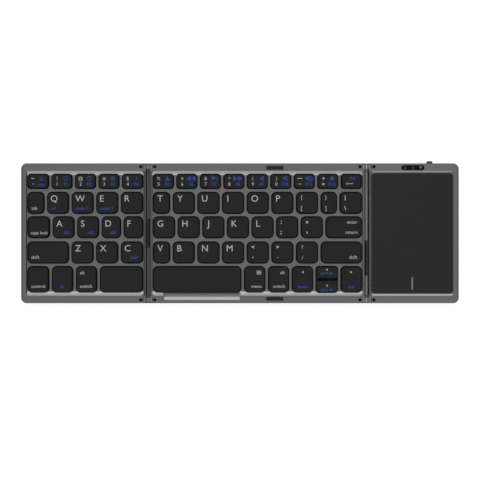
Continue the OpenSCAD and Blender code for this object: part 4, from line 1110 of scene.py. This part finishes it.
def make_stage():
    """Pale floor that is white to the camera and keeps a faint shadow."""
    mesh = bpy.data.meshes.new("floor")
    corners = [(x * FLOOR_HALF, y * FLOOR_HALF, FLOOR_Z) for x, y in ((-1, -1), (1, -1), (1, 1), (-1, 1))]
    mesh.from_pydata(corners, [], [(0, 1, 2, 3)])
    floor = linked("floor", mesh)
    material = bpy.data.materials.new("pale_floor")
    material.use_nodes = True
    g = Graph(material.node_tree)
    g.tree.nodes.clear()
    ray = g.tree.nodes.new("ShaderNodeLightPath")
    camera, glossy, through = (Wire(g, ray.outputs[f"Is {kind} Ray"])
                               for kind in ("Camera", "Glossy", "Transmission"))
    seen = 1 - (1 - camera) * (1 - glossy) * (1 - through)
    matte = g.node("ShaderNodeBsdfDiffuse", {}, {"Color": (0.88, 0.88, 0.88, 1)})
    white = g.node("ShaderNodeEmission", {}, {"Color": (1, 1, 1, 1), "Strength": FLOOR_WHITE})
    both = g.node("ShaderNodeMixShader", {}, {0: seen * FLOOR_GLOW, 1: matte, 2: white})
    out = g.tree.nodes.new("ShaderNodeOutputMaterial")
    g.feed(out.inputs["Surface"], both)
    mesh.materials.append(material)


def make_world():
    """White where the camera sees it, softer as a light."""
    world = bpy.data.worlds.new("studio")
    bpy.context.scene.world = world
    world.use_nodes = True
    g = Graph(world.node_tree)
    g.tree.nodes.clear()
    ray = g.tree.nodes.new("ShaderNodeLightPath")
    seen = Wire(g, ray.outputs["Is Camera Ray"])
    soft = g.node("ShaderNodeBackground", {}, {"Color": (1, 1, 1, 1), "Strength": WORLD_SOFT})
    white = g.node("ShaderNodeBackground", {}, {"Color": (1, 1, 1, 1), "Strength": 1.0})
    both = g.node("ShaderNodeMixShader", {}, {0: seen, 1: soft, 2: white})
    out = g.tree.nodes.new("ShaderNodeOutputWorld")
    g.feed(out.inputs["Surface"], both)


def soft_light(name, place, size, power):
    """Rectangular soft box that points at the middle of the object."""
    lamp = bpy.data.lights.new(name, "AREA")
    lamp.shape = "RECTANGLE"
    lamp.size, lamp.size_y = size
    lamp.energy = power
    holder = linked(name, lamp)
    holder.location = place
    holder.rotation_euler = (-Vector(place)).to_track_quat("-Z", "Y").to_euler()


def make_lights():
    soft_light("top_box", (0, 0.15, 1.1), (1.5, 1.0), 2.2)
    soft_light("rear_box", (0, 1.1, 0.55), (1.6, 0.4), 1.3)
    soft_light("front_box", (0, -1.1, 0.55), (1.6, 0.4), 1.1)


def make_camera():
    """View straight down whose width covers IMAGE_WIDTH pixels, each PIXEL wide at the height of the rims.
    """
    lens = bpy.data.cameras.new("camera")
    lens.sensor_fit = "HORIZONTAL"
    lens.angle = 2 * math.atan(IMAGE_WIDTH * PIXEL / 2 / CAMERA_DISTANCE)
    camera = linked("camera", lens)
    camera.location = (CAMERA_X, CAMERA_Y, RIM_TOP + CAMERA_DISTANCE)
    bpy.context.scene.camera = camera


make_camera()
dress_nodes()
make_caps()
make_lips("left_key_lips", "left_wing", "left_deck", LEFT_KEYS)
make_lips("mid_key_lips", "middle_panel", "mid_deck", MID_KEYS)
make_domes("left_dome_sheet", "left_wing", LEFT_KEYS)
make_domes("mid_dome_sheet", "middle_panel", MID_KEYS)
make_legends()
make_screws()
make_feet()
make_flex("left", "left_wing")
make_flex("right", "right_wing")
make_light_marks()
make_stage()
make_world()
make_lights()
bpy.context.scene.view_settings.view_transform = "Standard"
